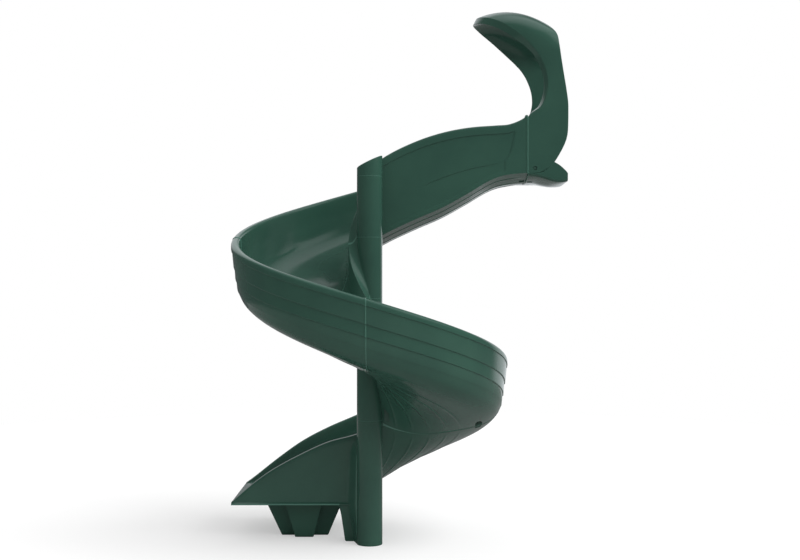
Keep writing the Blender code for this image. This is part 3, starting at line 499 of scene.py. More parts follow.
def bolt_place(out, x, bed, place):
    """Centre of a joint's bolt on the face of the joint, from its distance out and depth below the rim."""
    return Vector((out[0] * place[0] + x, out[1] * place[0], bed - place[1]))


# Spiral sections

def seam_height(degrees):
    return TOP_SEAM_Z - QUARTER_DROP * (degrees - 90) / 90


def rim_height(degrees):
    return seam_height(degrees) + height_at(RIM_LEAD, degrees)


def spiral_station(first, last):
    def at(degrees, by, ahead):
        bed = rim_height(degrees)
        away = min(degrees - first, last - degrees) / RIB_FADE
        line = inset(spiral_outline(bed, ease(away)), by)
        shift = GAP / 2 if degrees == first else -GAP / 2 if degrees == last else 0.0
        turn = math.radians(degrees) + ahead / RIM_R
        out = Vector((math.cos(turn), math.sin(turn)))
        forward = Vector((-math.sin(turn), math.cos(turn))) * shift
        drop = seam_height(degrees + math.degrees(ahead / RIM_R)) - seam_height(degrees)
        return [Vector((*(out * min(point.x, RIM_R) + forward), point.y + drop)) for point in line]
    return at


def add_rings(*heights):
    """Edge rings round a sleeve, which keep its side straight up to its rounded end."""
    for height in heights:
        bpy.ops.mesh.select_all(action="SELECT")
        bpy.ops.mesh.bisect(plane_co=(0, 0, height), plane_no=(0, 0, 1))
    leave_edit()


def sleeve_blank(name, low, high):
    """A cylinder round the post's axis, as wide as its sleeves."""
    leave_edit()
    bpy.ops.mesh.primitive_cylinder_add(vertices=96, radius=SLEEVE_R, depth=high - low,
                                        location=(0, 0, (low + high) / 2))
    piece = bpy.context.object
    piece.name = name
    bpy.ops.object.transform_apply(location=True, rotation=True, scale=True)
    return piece


def sleeve(name, low, high):
    """Sleeve of the post: bored for it, with rounded ends."""
    piece = sleeve_blank(name, low, high)
    choose(piece, lambda face: abs(face.normal.z) > 0.5, "FACE")
    bpy.ops.mesh.inset(thickness=SLEEVE_R - BORE_R)
    bpy.ops.mesh.bridge_edge_loops()
    add_rings(low + 2 * SLEEVE_EDGE, high - 2 * SLEEVE_EDGE)
    choose(piece, lambda edge: abs(edge.verts[0].co.z - edge.verts[1].co.z) < 0.001
           and not low + SLEEVE_EDGE < edge.verts[0].co.z < high - SLEEVE_EDGE
           and edge.verts[0].co.xy.length > (SLEEVE_R + BORE_R) / 2
           and edge.verts[1].co.xy.length > (SLEEVE_R + BORE_R) / 2)
    bpy.ops.mesh.bevel(offset=SLEEVE_EDGE, segments=3, affect="EDGES")
    leave_edit()
    return piece


def spiral_section(index):
    first = 90.0 * (index + 1)
    last = first + 90.0
    places = [first + 90.0 * i / SPIRAL_STATIONS for i in range(SPIRAL_STATIONS + 1)]
    piece = sweep(f"spiral_chute_{index + 1}",
                  rounded_run(spiral_station(first, last), places, LEAD_EDGE, END_BEAD))
    cutters = []
    for degrees, ahead, bolt, radius, length in (
            (first, 1, OUTER_BOLT, POCKET_R, POCKET_LENGTH),
            (last, -1, OUTER_BOLT, HEAD_POCKET_R, HEAD_POCKET_LENGTH),
            (last, -1, INNER_BOLT, INNER_POCKET_R, POCKET_LENGTH)):
        turn = math.radians(degrees)
        out = (math.cos(turn), math.sin(turn))
        cutters.append(pocket(bolt_place(out, 0.0, rim_height(degrees), bolt),
                              (-out[1] * ahead, out[0] * ahead), radius, length))
    middle = math.radians((first + last) / 2)
    cutters.append(drain(DRAIN_AT * math.cos(middle), DRAIN_AT * math.sin(middle),
                         rim_height((first + last) / 2) - UNDER_DEPTH))
    cut(piece, cutters)
    tube = sleeve(f"sleeve_{index + 1}", seam_height(last) + GAP / 2, seam_height(first) - GAP / 2)
    return [piece, tube]


# Upper run

def near_panel(x, top, low):
    """Near wall of the upper run from its rounded top down: a band, the field behind it, and a lap."""
    lip = min(NEAR_LIP, (top - low) * 0.3)
    lap = SECOND_LAP[0][1] + (x - SECOND_LAP[0][0]) * (
        (SECOND_LAP[1][1] - SECOND_LAP[0][1]) / (SECOND_LAP[1][0] - SECOND_LAP[0][0]))
    lap = min(lap, (top - low) * 0.75)
    fade = ease((x - SECOND_LAP[0][0] + 0.04) / 0.12) * ease((SECOND_LAP[1][0] + 0.02 - x) / 0.12)

    def depth_at(depth):
        end = height_at(PANEL_END, min(depth, PANEL_END[-1][0]))
        return PANEL_DEPTH * ease((end - x) / PANEL_EDGE) * ease((x - 0.02) / 0.03)

    corners = [(NEAR_FACE, top - lip), (NEAR_FACE + depth_at(lip), top - lip - LAP_RISE)]
    for share in (i / 12 for i in range(1, 12)):
        depth = lip + 0.004 + (lap - lip - 0.008) * share
        corners.append((NEAR_FACE + depth_at(depth), top - depth))
    second = PANEL_DEPTH * 0.8 * fade
    return [*corners, (NEAR_FACE + depth_at(lap), top - lap),
            (NEAR_FACE + depth_at(lap) + second, top - lap - LAP_RISE),
            (NEAR_FACE + (depth_at(0.20) + second) * 0.6, low + 0.030),
            (NEAR_FACE, low + 0.014), (NEAR_FACE, low)]


def near_rim(base, rise):
    """Rounded top of the near wall, from the channel over to its outer face."""
    half = (HUB_R - NEAR_FACE) / 2
    line = []
    for i in range(11):
        turn = math.pi * i / 10
        across, up = math.cos(turn), math.sin(turn)
        line.append(Vector((NEAR_FACE + half + half * math.copysign(abs(across)**0.6, across),
                            base + rise * abs(up)**0.75)))
    return line


def leaning_rim(bed):
    """As many points as in the near wall's rim, on the inner wall's shoulder against the sleeve."""
    foot, head = Vector((HUB_R, bed - SHOULDER)), Vector((NEAR_FACE, bed + SHOULDER))
    return [foot.lerp(head, i / 10) for i in range(11)]


def upper_outline(x):
    shown = ease((SEAM_X - x) / RUN_FADE)
    bed = height_at(RUN_BED, x)
    far_top = min(bed, NEAR_TOP[-1][1])
    top = height_at(NEAR_TOP, x)
    corner = UNDER_DEPTH - RUN_CORNER
    low = bed - UNDER_DEPTH + corner
    share = ease(x / 0.05)
    line = [*underside(bed, corner, shown), *outer_wall(bed, far_top, LAP_STEP * shown), *rim(far_top),
            *channel(bed - FLOOR_DEPTH, far_top)]
    line += [a.lerp(b, share) for a, b in zip(leaning_rim(bed), near_rim(top - NEAR_RIM, NEAR_RIM))]
    return line + rounded([line[-1], *near_panel(x, line[-1].y, low)], LAP_EDGE)[1:-1]


def upper_station(x, by, ahead):
    line = inset(upper_outline(x), by)
    shift = -GAP / 2 if x == SEAM_X else GAP / 2 if x == 0 else 0.0
    return [Vector((x + shift - ahead, point.x, point.y)) for point in line]


def upper_chute():
    places = [SEAM_X, *(SEAM_X - 0.004 * i for i in range(5, 48))]
    places += [places[-1] * (1 - i / 46) for i in range(1, 47)]
    piece = sweep("upper_chute_body", rounded_run(upper_station, places, END_BEAD, LEAD_EDGE))
    cutters = [pocket(bolt_place((0, 1), SEAM_X, LEVEL_BED_Z, bolt), (-1, 0), POCKET_R)
               for bolt in SILL_BOLTS]
    for bolt, radius in ((OUTER_BOLT, POCKET_R), (INNER_BOLT, INNER_POCKET_R)):
        cutters.append(pocket(bolt_place((0, 1), 0.0, TOP_SEAM_Z, bolt), (1, 0), radius))
    cutters.append(drain(DRAIN_X, DRAIN_AT, height_at(RUN_BED, DRAIN_X) - UNDER_DEPTH))
    return cut(piece, cutters)


def upper_sleeve():
    """Sleeve of the upper chute: its top is cut on a slant and closed, and its bore stops below that."""
    low = TOP_SEAM_Z + GAP / 2
    piece = sleeve_blank("sleeve_top", low, TOP_SEAM_Z + TOP_RISE + SLEEVE_R)
    choose(piece, lambda face: True, "FACE")
    bpy.ops.mesh.bisect(plane_co=(0, 0, TOP_SEAM_Z + TOP_RISE), plane_no=(-TOP_SLOPE, 0.0, 1.0),
                        clear_outer=True, use_fill=True)
    leave_edit()
    choose(piece, lambda face: face.normal.z > 0.5, "FACE")
    bpy.ops.mesh.bevel(offset=TOP_EDGE, segments=4, affect="EDGES")
    leave_edit()
    choose(piece, lambda face: face.normal.z < -0.5, "FACE")
    bpy.ops.mesh.inset(thickness=SLEEVE_R - BORE_R)
    bpy.ops.mesh.extrude_region_move(TRANSFORM_OT_translate={"value": (0, 0, 0.040)})
    add_rings(low + SLEEVE_EDGE)
    return piece


# Exit

def exit_outline(run):
    floor = height_at(EXIT_FLOOR, run)
    far_top = max(height_at(EXIT_FAR_TOP, run), floor + 0.001)
    near_top = max(height_at(EXIT_NEAR_TOP, run), floor + 0.001)
    low = EXIT_BOTTOM_Z
    edge = min(EXIT_EDGE, (floor - low) * 0.6)
    half = min(RIM_WIDTH / 2, (far_top - low) * 0.4, max(far_top - floor, 0.004))
    taper = EXIT_TAPER * min(1.0, (far_top - low) / EXIT_TALL)
    lip = min(EXIT_LIP[1], (near_top - low) * 0.4)
    proud = NEAR_FACE - EXIT_LIP[0]
    bottom = [(NEAR_FACE, low + lip * 1.2), (NEAR_FACE, low + lip), (proud, low + lip * 0.45), (proud, low),
              (0.30, low), (0.55, low), (RIM_R - taper, low)]
    side, head = Vector((RIM_R - taper, low)), Vector((RIM_R, far_top - half))
    line = rounded([*bottom, side.lerp(head, 0.5), head], edge, 5)[1:-1]
    for i in range(13):
        turn = math.pi * i / 12
        line.append(Vector((RIM_R - RIM_WIDTH / 2 + RIM_WIDTH / 2 * math.cos(turn),
                            far_top - half + half * math.sin(turn))))
    rise = (far_top - half - floor) / (FLOOR_DEPTH - RIM_WIDTH / 2)
    line += [Vector((p.x, floor + p.y * rise)) for p in channel(0.0, FLOOR_DEPTH)]
    foot = line[-1].y
    off = min(NEAR_RIM, max((near_top - foot) * 0.5, 0.0006))
    line += near_rim(max(near_top - off, foot + 0.0004), off)
    wall_top, wall_low = line[-1], Vector((NEAR_FACE, low + lip * 1.2))
    line += [wall_top.lerp(wall_low, i / 16) for i in range(1, 16)]
    return line


def exit_station(run, by, ahead):
    line = inset(exit_outline(run), by)
    shift = GAP / 2 if run == 0 else 0.0
    return [Vector((-run - shift - ahead, point.x, point.y)) for point in line]


def exit_chute():
    reach = -EXIT_END_X
    places = [reach * i / 60 for i in range(61)]
    piece = sweep("exit_body", rounded_run(exit_station, places, LEAD_EDGE, PLAIN_END))
    return cut(piece, [pocket(bolt_place((0, 1), 0.0, rim_height(450), OUTER_BOLT), (-1, 0), POCKET_R),
                       drain(EXIT_DRAIN_X, DRAIN_AT, EXIT_BOTTOM_Z)])


def web_outline(low):
    """Across the web at a height: a hollow curve from the leg to the exit's wall, and a square back."""
    wall = height_at(WEB_REACH, low)
    end = height_at(WEB_END, low) if low < EXIT_BOTTOM_Z else wall
    face, back = NEAR_FACE + 0.0005, NEAR_FACE + 0.040
    span = wall - WEB_START
    curve = smooth_curve([(span * share + WEB_START, y) for share, y in (*WEB_HOLLOW, (1.0, face))], 19)
    fade = ease((low - WEB_TOP_Z + WEB_FADE) / WEB_FADE)
    for point in curve:
        point.y += (face + 0.004 - point.y) * fade
    edge = 0.008 if low < EXIT_BOTTOM_Z else 0.0005
    line = [*curve, Vector((end + edge, face)), Vector((end + edge * 0.3, face + edge * 0.3)),
            Vector((end, face + edge)), Vector((end, back)), Vector((-0.020, back)), Vector((-0.020, 0.030))]
    return [Vector((point.x, point.y, low)) for point in line]


def exit_web():
    """Web that carries the exit on its leg, with the hollow between the near wall and the leg."""
    heights = [0.006 + (EXIT_BOTTOM_Z - 0.0065) * i / 16 for i in range(17)]
    heights += [EXIT_BOTTOM_Z + (WEB_TOP_Z - EXIT_BOTTOM_Z) * i / 28 for i in range(29)]
    outlines = [web_outline(low) for low in heights]
    middle = Vector((-0.09, NEAR_FACE, 0.0))
    first = [middle + (Vector((point.x, point.y, 0.0)) - middle) * 0.93 for point in outlines[0]]
    return sweep("exit_web_body", [first, *outlines])


def exit_leg():
    return sleeve("leg_body", 0.0, EXIT_SEAM_Z - GAP / 2)


# Foot

def foot_outline(share, low, inward=0.0):
    """Cross of the foot's body and its middle rib, between its top at share 0 and its base at 1."""
    a, b = (top + (base - top) * share - inward for top, base in zip(FOOT_TOP, FOOT_BASE))
    c, d = (top + (base - top) * share - inward for top, base in zip(RIB_TOP, RIB_BASE))
    corners = [(0, -d), (c, -d), (c, -b), (a, -b), (a, b), (c, b), (c, d), (-c, d), (-c, b), (-a, b),
               (-a, -b), (-c, -b), (-c, -d), (0, -d)]
    line = rounded(corners, FOOT_EDGE)[:-1]
    return [Vector((FOOT_X + p.x, CENTRE_Y + p.y, low)) for p in line]


def exit_foot():
    """A moulded shell, open below: its outlines run down the outside, round the lip and up inside."""
    top = FOOT_HIGH.z
    shares = [i / 8 for i in range(9)]
    outside = [foot_outline(share, top * (1 - share)) for share in shares]
    inside = [foot_outline(share, (top - FOOT_WALL) * (1 - share), FOOT_WALL) for share in reversed(shares)]
    outside[0] = foot_outline(0.03, top - 0.0035)
    outside.insert(0, foot_outline(0.01, top - 0.0008, 0.0012))
    outside.insert(0, foot_outline(0.0, top, 0.0040))
    outside[-1:] = [foot_outline(0.985, 0.003), foot_outline(1.0, 0.0, 0.002)]
    inside[0] = foot_outline(1.0, 0.0, FOOT_WALL - 0.002)
    inside.insert(1, foot_outline(0.985, 0.003, FOOT_WALL))
    return sweep("foot_shell", outside + inside)


# Entrance

def sill_outline(x):
    near = height_at(SILL_NEAR, x)
    lowest = height_at(SILL_LOWEST, x)
    lip = height_at(SILL_LIP, x)
    rise = (lip - SILL_FLOOR_Z) / SILL_RISE
    edge = SIDE_BASE if x < SIDE_BASE[-1][0] else (SIDE_BASE[-1], *SILL_BACK)
    side = height_at(edge, x) - 2 * GAP
    low, high = NEAR_FACE, RIM_R
    inner_low, inner_high = low + HOOD_THICK + GAP, high - HOOD_THICK - GAP
    under = smooth_curve(((low + 0.012, near), (0.160, lowest + (near - lowest) * 0.45), (0.300, lowest),
                          (0.460, lowest + 0.014), (0.640, lowest + 0.030), (high - 0.010, SILL_FAR_Z)), 40)
    floor = SILL_FLOOR_Z
    floor_line = smooth_curve(((inner_high - 0.030, lip - 0.001), (inner_high - 0.055, lip - 0.010 * rise),
                               (0.600, floor + 0.045 * rise), (0.420, floor + 0.002),
                               (0.280, floor), (0.190, floor + 0.040 * rise),
                               (inner_low + 0.040, lip - 0.012 * rise), (inner_low + 0.020, lip - 0.001)), 50)
    ledge = max(lip, side + GAP)
    start = rounded([(high - 0.010, SILL_FAR_Z), (high, SILL_FAR_Z + 0.010), (high, side),
                     (inner_high, side), (inner_high, ledge), floor_line[0]], SILL_EDGE)[1:-1]
    end = rounded([floor_line[-1], (inner_low, ledge), (inner_low, side), (low, side),
                   (low, near + 0.010), (low + 0.012, near)], SILL_EDGE)[1:-1]
    return [*under, *start, *floor_line, *end]


def sill_station(x, by, ahead):
    line = inset(sill_outline(x), by)
    shift = GAP / 2 if x == SEAM_X else 0.0
    return [Vector((x + shift + ahead, point.x, point.y)) for point in line]


def entrance_sill():
    places = [SEAM_X + (DECK_FACE_X - SEAM_X) * i / 36 for i in range(37)]
    piece = sweep("sill_body", rounded_run(sill_station, places, LEAD_EDGE, DECK_EDGE))
    return cut(piece, [pocket(bolt_place((0, 1), SEAM_X, LEVEL_BED_Z, bolt), (1, 0), POCKET_R)
                       for bolt in SILL_BOLTS])


def hood_rows():
    """Lines across the near half of the hood, from its foot to the crown: the front edge of the
    outside, the back edge, and the lean of the surface there, 0 upright to 90 level."""
    side, deck = NEAR_FACE, DECK_FACE_X
    return (
        ((SEAM_X, side, 2.172), (SIDE_BASE[1][0], side, SIDE_BASE[1][1]), 0),
        ((SEAM_X, side, 2.195), (SIDE_BASE[2][0], side, SIDE_BASE[2][1]), 0),
        ((SEAM_X, side, 2.250), (SIDE_BASE[3][0], side, SIDE_BASE[3][1]), 0),
        ((SEAM_X, side, 2.370), (deck - 0.008, side, 2.372), 0),
        ((SEAM_X, side, 2.505), (deck + 0.004, side, 2.500), 0),
        ((1.012, side, 2.570), (deck + 0.003, side, 2.590), 0),
        ((1.047, side, 2.660), (deck - 0.009, side, 2.680), 0),
        ((1.045, side, 2.755), (deck - 0.024, side, 2.770), 2),
        ((1.008, side + 0.002, 2.855), (deck - 0.038, side, 2.860), 8),
        ((0.952, side + 0.015, 2.935), (deck - 0.048, side + 0.004, 2.935), 20),
        ((0.880, side + 0.047, 3.012), (deck - 0.058, side + 0.035, 3.005), 45),
        ((0.790, side + 0.110, 3.087), (deck - 0.086, side + 0.110, 3.060), 65),
        ((0.700, side + 0.220, 3.140), (deck - 0.116, side + 0.220, 3.105), 80),
        ((0.650, CENTRE_Y, 3.160), (deck - 0.128, CENTRE_Y, 3.128), 90),
    )


def hood_lines(parts=5):
    """The rows of the whole hood, near foot to far foot, on smooth curves through the named ones."""
    rows = hood_rows()
    count = (len(rows) - 1) * parts + 1
    mirror = [((x, 2 * CENTRE_Y - y, z), (u, 2 * CENTRE_Y - v, w), 180 - lean)
              for (x, y, z), (u, v, w), lean in reversed(rows[-3:-1])]
    whole = [*rows, *mirror]
    full = (len(whole) - 1) * parts + 1
    fronts = smooth_curve([row[0] for row in whole], full)[:count]
    backs = smooth_curve([row[1] for row in whole], full)[:count]
    leans = [lean.x for lean in smooth_curve([(row[2], 0.0) for row in whole], full)[:count]]
    near = []
    for front, back, lean in zip(fronts, backs, leans):
        front.x = max(front.x, SEAM_X) if front.z < HOOD_NECK_Z else front.x
        lean = min(max(lean, 0.0), 90.0)
        inward = Vector((0.0, math.cos(math.radians(lean)), -math.sin(math.radians(lean))))
        near.append((front, back, inward, lean / 90))
    far = [(Vector((f.x, 2 * CENTRE_Y - f.y, f.z)), Vector((b.x, 2 * CENTRE_Y - b.y, b.z)),
            Vector((0.0, -inward.y, inward.z)), crown) for f, b, inward, crown in reversed(near[:-1])]
    return near + far


def hood_loop(front, back, inward, crown):
    """One closed line round the hood's wall: along the outside, back along the inside, with its four
    corners rounded."""
    lead = HOOD_FORWARD * ease((front.x - SEAM_X) / 0.06 if front.z < HOOD_NECK_Z else 1.0)
    outside, inside = [], []
    for share in (i / 14 for i in range(15)):
        bulge = HOOD_BULGE * crown * 4 * share * (1 - share)
        at = front.lerp(back, share) - inward * bulge
        forward = (front - back).normalized() * lead * (1 - share)
        at = Vector([min(max(value, low), high) for value, low, high in zip(at, HOOD_LOW, HOOD_HIGH)])
        outside.append(at)
        inside.append(at + inward * HOOD_THICK + forward)
    return round_corners(outside, inside)


def round_corners(outside, inside, steps=5):
    """The loop of two lines, with an arc at each of its four ends."""
    loop = []
    for line, facing in ((outside, inside[::-1]), (inside[::-1], outside)):
        loop.extend(line[1:-1])
        for before, corner, after in ((line[-2], line[-1], facing[0]), (line[-1], facing[0], facing[1])):
            back, ahead = before - corner, after - corner
            reach = HOOD_SEAM_EDGE if corner.x < SEAM_X + 0.001 else HOOD_EDGE
            start = back.normalized() * min(reach, back.length * 0.45)
            end = ahead.normalized() * min(reach, ahead.length * 0.45)
            for i in range(steps + 1):
                t = i / steps
                loop.append(corner + start * (1 - t)**2 + end * t**2)
    return loop


def entrance_hood():
    lines = hood_lines()
    loops = [hood_loop(*line) for line in lines]
    piece = sweep("hood_shell", loops)
    cutters = []
    for face, inward in ((NEAR_FACE, 1), (RIM_R, -1)):
        bolt = (SEAM_X + HOOD_BOLT[0], face, SILL_FLOOR_Z + HOOD_BOLT[1])
        vent = (SEAM_X + HOOD_VENT[0], face + inward * HOOD_THICK, SILL_FLOOR_Z + HOOD_VENT[1])
        cutters.append(round_hole(bolt, (0, inward, 0), DISH_R, DISH_DEPTH))
        cutters.append(round_hole(vent, (0, -inward, 0), DRAIN_R, VENT_DEPTH))
    return cut(piece, cutters)


def place(piece, *nodes):
    choose_only(piece)
    bpy.ops.object.shade_smooth_by_angle(angle=math.radians(SMOOTH_BELOW))
    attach(piece, "root")
    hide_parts(*nodes)


for index in range(4):
    for piece in spiral_section(index):
        place(piece, f"spiral_section_{index + 1}")
for piece in (upper_chute(), upper_sleeve()):
    place(piece, "upper_chute")
for piece in (exit_chute(), exit_web(), exit_leg()):
    place(piece, "exit_section")
place(exit_foot(), "exit_foot")
place(entrance_sill(), "entrance_sill")
place(entrance_hood(), "entrance_hood")

# Materials

def linear(code):
    """Blender's linear colour of an sRGB hex value."""
    parts = [int(code[i:i + 2], 16) / 255 for i in (1, 3, 5)]
    return (*[p / 12.92 if p <= 0.04045 else ((p + 0.055) / 1.055)**2.4 for p in parts], 1.0)


def add_node(tree, kind, settings=None, links=None):
    """One node, with its settings and inputs by name and the sockets that feed it."""
    made = tree.nodes.new(kind)
    for name, value in (settings or {}).items():
        if name in made.inputs:
            made.inputs[name].default_value = value
        else:
            setattr(made, name, value)
    for name, source in (links or {}).items():
        tree.links.new(source, made.inputs[name])
    return made


def math_node(tree, kind, *values):
    """Result of one sum, from numbers and sockets."""
    made = add_node(tree, "ShaderNodeMath", {"operation": kind})
    for socket, value in zip(made.inputs, values):
        if isinstance(value, float):
            socket.default_value = value
        else:
            tree.links.new(value, socket)
    return made.outputs["Value"]


def start_material(name):
    """A new material, with its tree, its shader and the link that gives a pattern the object's place."""
    made = bpy.data.materials.new(name)
    made.use_nodes = True
    tree = made.node_tree
    at = {"Vector": add_node(tree, "ShaderNodeTexCoord").outputs["Object"]}
    return made, tree, tree.nodes["Principled BSDF"], at


def seam_highlight_mask(tree, at):
    """Mask of a painted highlight: 1 along the ends of the sections and their sleeves and the exit's lower
    edge, and 0 elsewhere.
    """
    both, either, near, below, above, minus = (
        partial(math_node, tree, kind)
        for kind in ("MULTIPLY", "MAXIMUM", "COMPARE", "LESS_THAN", "GREATER_THAN", "SUBTRACT"))
    split = add_node(tree, "ShaderNodeSeparateXYZ", None, at)
    x, y, z = (split.outputs[axis] for axis in "XYZ")
    far = math_node(tree, "SQRT", math_node(tree, "ADD", both(x, x), both(y, y)))
    outside = above(far, SLEEVE_R + 0.002)
    quarters = both(either(near(x, 0.0, SEAM_HIGHLIGHT_REACH), near(y, 0.0, SEAM_HIGHLIGHT_REACH)), outside)
    entrance = both(near(x, SEAM_X, SEAM_HIGHLIGHT_REACH), below(z, LEVEL_BED_Z))
    away = math_node(tree, "PINGPONG", minus(z, TOP_SEAM_Z), QUARTER_DROP / 2)
    rings = both(below(away, SEAM_HIGHLIGHT_REACH / 2), above(z, EXIT_SEAM_Z - 0.1))
    sleeves = both(rings, minus(1.0, outside))
    lower = both(near(z, EXIT_BOTTOM_Z + EXIT_HIGHLIGHT_HEIGHT / 2, EXIT_HIGHLIGHT_HEIGHT / 2), below(x, EXIT_HIGHLIGHT_END))
    return either(either(either(quarters, entrance), lower), sleeves)


def polyethylene():
    """Linear low-density polyethylene, rotomoulded: hunter green all through, satin gloss. The blasted
    mould leaves a fine orange peel, and the wall cools a little uneven, so reflections waver. Along the
    joints and the exit's lower edge a paler green is painted on as a highlight, where rounded edges catch
    light."""
    made, tree, shader, at = start_material("rotomoulded_polyethylene")
    # Real orange peel has cells of 1 to 2 mm; these are drawn at 4 mm so that they show up close.
    peel, wave, cloud, speck = (
        add_node(tree, "ShaderNodeTexNoise", {"Scale": scale, "Detail": detail}, at).outputs["Fac"]
        for scale, detail in ((250.0, 2.0), (7.0, 1.0), (4.0, 4.0), (600.0, 1.0)))
    base = add_node(tree, "ShaderNodeValToRGB", None, {"Fac": cloud})
    for stop, place, colour in zip(base.color_ramp.elements, (0.35, 0.65), ("#2c4c41", "#305145")):
        stop.position = place
        stop.color = linear(colour)
    # Painted highlight: a paler green along the joints and the exit's lower edge, in place of the light that
    # their rounded edges catch
    green = add_node(tree, "ShaderNodeMixRGB", {"Color2": linear("#486f62")},
                     {"Fac": seam_highlight_mask(tree, at), "Color1": base.outputs["Color"]})
    gloss = add_node(tree, "ShaderNodeMapRange", {"To Min": 0.13, "To Max": 0.18}, {"Value": speck})
    waver = add_node(tree, "ShaderNodeBump", {"Strength": 0.5, "Distance": 0.0010}, {"Height": wave})
    skin = add_node(tree, "ShaderNodeBump", {"Strength": 0.25, "Distance": 0.0002},
                    {"Height": peel, "Normal": waver.outputs["Normal"]})
    tree.links.new(green.outputs["Color"], shader.inputs["Base Color"])
    tree.links.new(gloss.outputs["Result"], shader.inputs["Roughness"])
    tree.links.new(skin.outputs["Normal"], shader.inputs["Normal"])
    shader.inputs["IOR"].default_value = 1.5
    return made


def patterned(name, pattern, settings, colours):
    """A material whose colour follows one pattern, with the pattern's socket and what it came with."""
    made, tree, shader, at = start_material(name)
    grain = add_node(tree, pattern, settings, at)
    grain = grain.outputs["Fac" if "Fac" in grain.outputs else "Color"]
    base = add_node(tree, "ShaderNodeValToRGB", None, {"Fac": grain})
    for stop, colour in zip(base.color_ramp.elements, colours):
        stop.color = linear(colour)
    tree.links.new(base.outputs["Color"], shader.inputs["Base Color"])
    return made, tree, shader, grain


def metal(name, pattern, settings, colours, gloss, metallic):
    """A patterned metal, whose roughness follows the pattern too, between two limits."""
    made, tree, shader, grain = patterned(name, pattern, settings, colours)
    rough = add_node(tree, "ShaderNodeMapRange", {"To Min": gloss[0], "To Max": gloss[1]}, {"Value": grain})
    tree.links.new(rough.outputs["Result"], shader.inputs["Roughness"])
    shader.inputs["Metallic"].default_value = metallic
    return made


def grained(name, scale, colours, height, roughness):
    """A plastic or paint with a fine relief, whose bumps stand up to a height in metres."""
    settings = {"Scale": scale, "Detail": 2.0}
    made, tree, shader, grain = patterned(name, "ShaderNodeTexNoise", settings, colours)
    bump = add_node(tree, "ShaderNodeBump", {"Strength": 0.3, "Distance": height}, {"Height": grain})
    tree.links.new(bump.outputs["Normal"], shader.inputs["Normal"])
    shader.inputs["Roughness"].default_value = roughness
    return made


FINISHES = {
    "green_polyethylene": polyethylene(),
    # Mild steel tube and plate, hot-dip galvanised: dull grey zinc with spangles about 15 mm across
    "galvanised_steel": metal("hot_dip_galvanised_steel", "ShaderNodeTexVoronoi", {"Scale": 65.0},
                              ("#9aa0a4", "#b8bdc0"), (0.38, 0.55), 1.0),
    # Steel bolts and nuts, zinc-nickel plated and passivated black: dark grey, a little worn and sheeny
    "black_zinc_steel": metal("black_zinc_nickel_steel", "ShaderNodeTexNoise",
                              {"Scale": 300.0, "Detail": 3.0}, ("#26292b", "#3d4144"), (0.30, 0.48), 0.9),
    # Turned free-cutting brass of a moulded-in threaded insert: warm yellow, dulled by the oven
    "brass": metal("turned_brass", "ShaderNodeTexNoise", {"Scale": 220.0, "Detail": 3.0},
                   ("#8f7a45", "#c4a968"), (0.25, 0.45), 1.0),
    # Bolts and nuts powder-coated to match the slide: green, with the low bumps of a baked powder
    "powder_coat": grained("green_powder_coat", 500.0, ("#2a483e", "#305045"), 0.0002, 0.35),
    # Injection-moulded polypropylene: near black, with the fine matt grain of a textured mould
    "black_plastic": grained("moulded_black_polypropylene", 900.0, ("#131415", "#1d1f20"), 0.0001, 0.5),
}


def finish_of(name):
    if name in ("centre_post", "post_base_plate"):
        return "galvanised_steel"
    if name == "post_cap":
        return "black_plastic"
    if "insert" in name:
        return "brass"
    if name.startswith(("hood_bolt", "bolt_", "nut_")):
        return "powder_coat"
    return "black_zinc_steel" if "bolt" in name or "nut" in name else "green_polyethylene"


for obj in bpy.data.objects:
    if obj.type == "MESH":
        obj.data.materials.clear()
        obj.data.materials.append(FINISHES[finish_of(obj.name)])


# Studio

def floor_material():
    """Matt pale grey floor. The camera sees it lifted to white, with the object's shadow still on it."""
    made = bpy.data.materials.new("studio_floor")
    made.use_nodes = True
    tree = made.node_tree
    shader = tree.nodes["Principled BSDF"]
    path = add_node(tree, "ShaderNodeLightPath")
    grey = add_node(tree, "ShaderNodeMapRange", {"To Min": FLOOR_GREY, "To Max": FLOOR_DIM},
                    {"Value": path.outputs["Is Glossy Ray"]})
    tree.links.new(grey.outputs["Result"], shader.inputs["Base Color"])
    shader.inputs["Roughness"].default_value = 0.9
    shader.inputs["Specular IOR Level"].default_value = 0.0
    shader.inputs["Emission Color"].default_value = (1, 1, 1, 1)
    lift = add_node(tree, "ShaderNodeMapRange", {"To Max": FLOOR_LIFT},
                    {"Value": path.outputs["Is Camera Ray"]})
    tree.links.new(lift.outputs["Result"], shader.inputs["Emission Strength"])
    return made


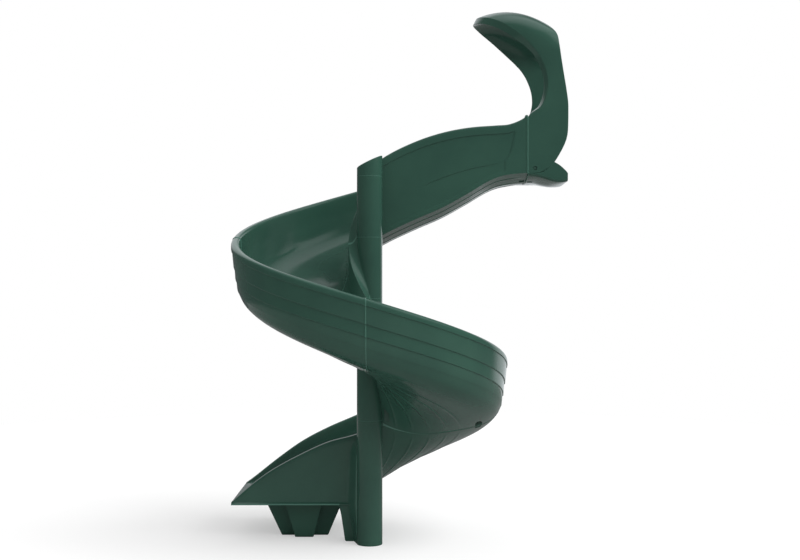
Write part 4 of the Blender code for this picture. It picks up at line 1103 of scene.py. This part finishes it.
def studio_world():
    """Even soft light, white where the camera or a reflection sees it behind the object."""
    world = bpy.data.worlds.new("studio")
    bpy.context.scene.world = world
    world.use_nodes = True
    tree = world.node_tree
    plain = tree.nodes["Background"]
    plain.inputs["Color"].default_value = (1, 1, 1, 1)
    plain.inputs["Strength"].default_value = WORLD_LIGHT
    path = add_node(tree, "ShaderNodeLightPath")
    white = add_node(tree, "ShaderNodeBackground", {"Color": (1, 1, 1, 1), "Strength": 1.0})
    direction = {"Vector": add_node(tree, "ShaderNodeTexCoord").outputs["Generated"]}
    room = None
    for at, edge, inside in SOFTBOXES:
        toward = add_node(tree, "ShaderNodeVectorMath", {"operation": "DOT_PRODUCT"})
        tree.links.new(direction["Vector"], toward.inputs[0])
        toward.inputs[1].default_value = at
        panel = add_node(tree, "ShaderNodeMapRange",
                         {"From Min": edge, "From Max": inside, "To Min": ROOM_DIM, "To Max": 1.0},
                         {"Value": toward.outputs["Value"]}).outputs["Result"]
        room = math_node(tree, "MAXIMUM", room, panel) if room else panel
    mirror = add_node(tree, "ShaderNodeBackground", {"Color": PANEL_TINT}, {"Strength": room})
    glossy = add_node(tree, "ShaderNodeMixShader", None, {"Fac": path.outputs["Is Glossy Ray"]})
    tree.links.new(plain.outputs["Background"], glossy.inputs[1])
    tree.links.new(mirror.outputs["Background"], glossy.inputs[2])
    seen = add_node(tree, "ShaderNodeMixShader", None, {"Fac": path.outputs["Is Camera Ray"]})
    tree.links.new(glossy.outputs["Shader"], seen.inputs[1])
    tree.links.new(white.outputs["Background"], seen.inputs[2])
    tree.links.new(seen.outputs["Shader"], tree.nodes["World Output"].inputs["Surface"])


def studio():
    leave_edit()
    bpy.ops.mesh.primitive_circle_add(vertices=96, radius=FLOOR_RADIUS, fill_type="NGON", location=(0, 0, 0))
    ground = bpy.context.object
    ground.name = "studio_floor"
    ground.data.materials.append(floor_material())
    studio_world()
    data = bpy.data.lights.new("key", "SUN")
    data.energy = KEY_LIGHT
    data.angle = math.radians(KEY_SPREAD)
    lamp = bpy.data.objects.new("key", data)
    lamp.visible_glossy = False  # a reflection sees the panels of the room instead
    bpy.context.scene.collection.objects.link(lamp)
    lamp.rotation_euler = (-Vector(KEY_FROM)).to_track_quat("-Z", "Y").to_euler()


def camera():
    data = bpy.data.cameras.new("camera")
    data.sensor_width = SENSOR
    data.lens = PHOTO_FOCUS / PHOTO_WIDTH * SENSOR
    made = bpy.data.objects.new("camera", data)
    made.location = CAMERA_AT
    made.rotation_euler = (math.pi / 2, 0, 0)
    bpy.context.scene.collection.objects.link(made)
    bpy.context.scene.camera = made


studio()
camera()
bpy.context.scene.view_settings.view_transform = "Standard"
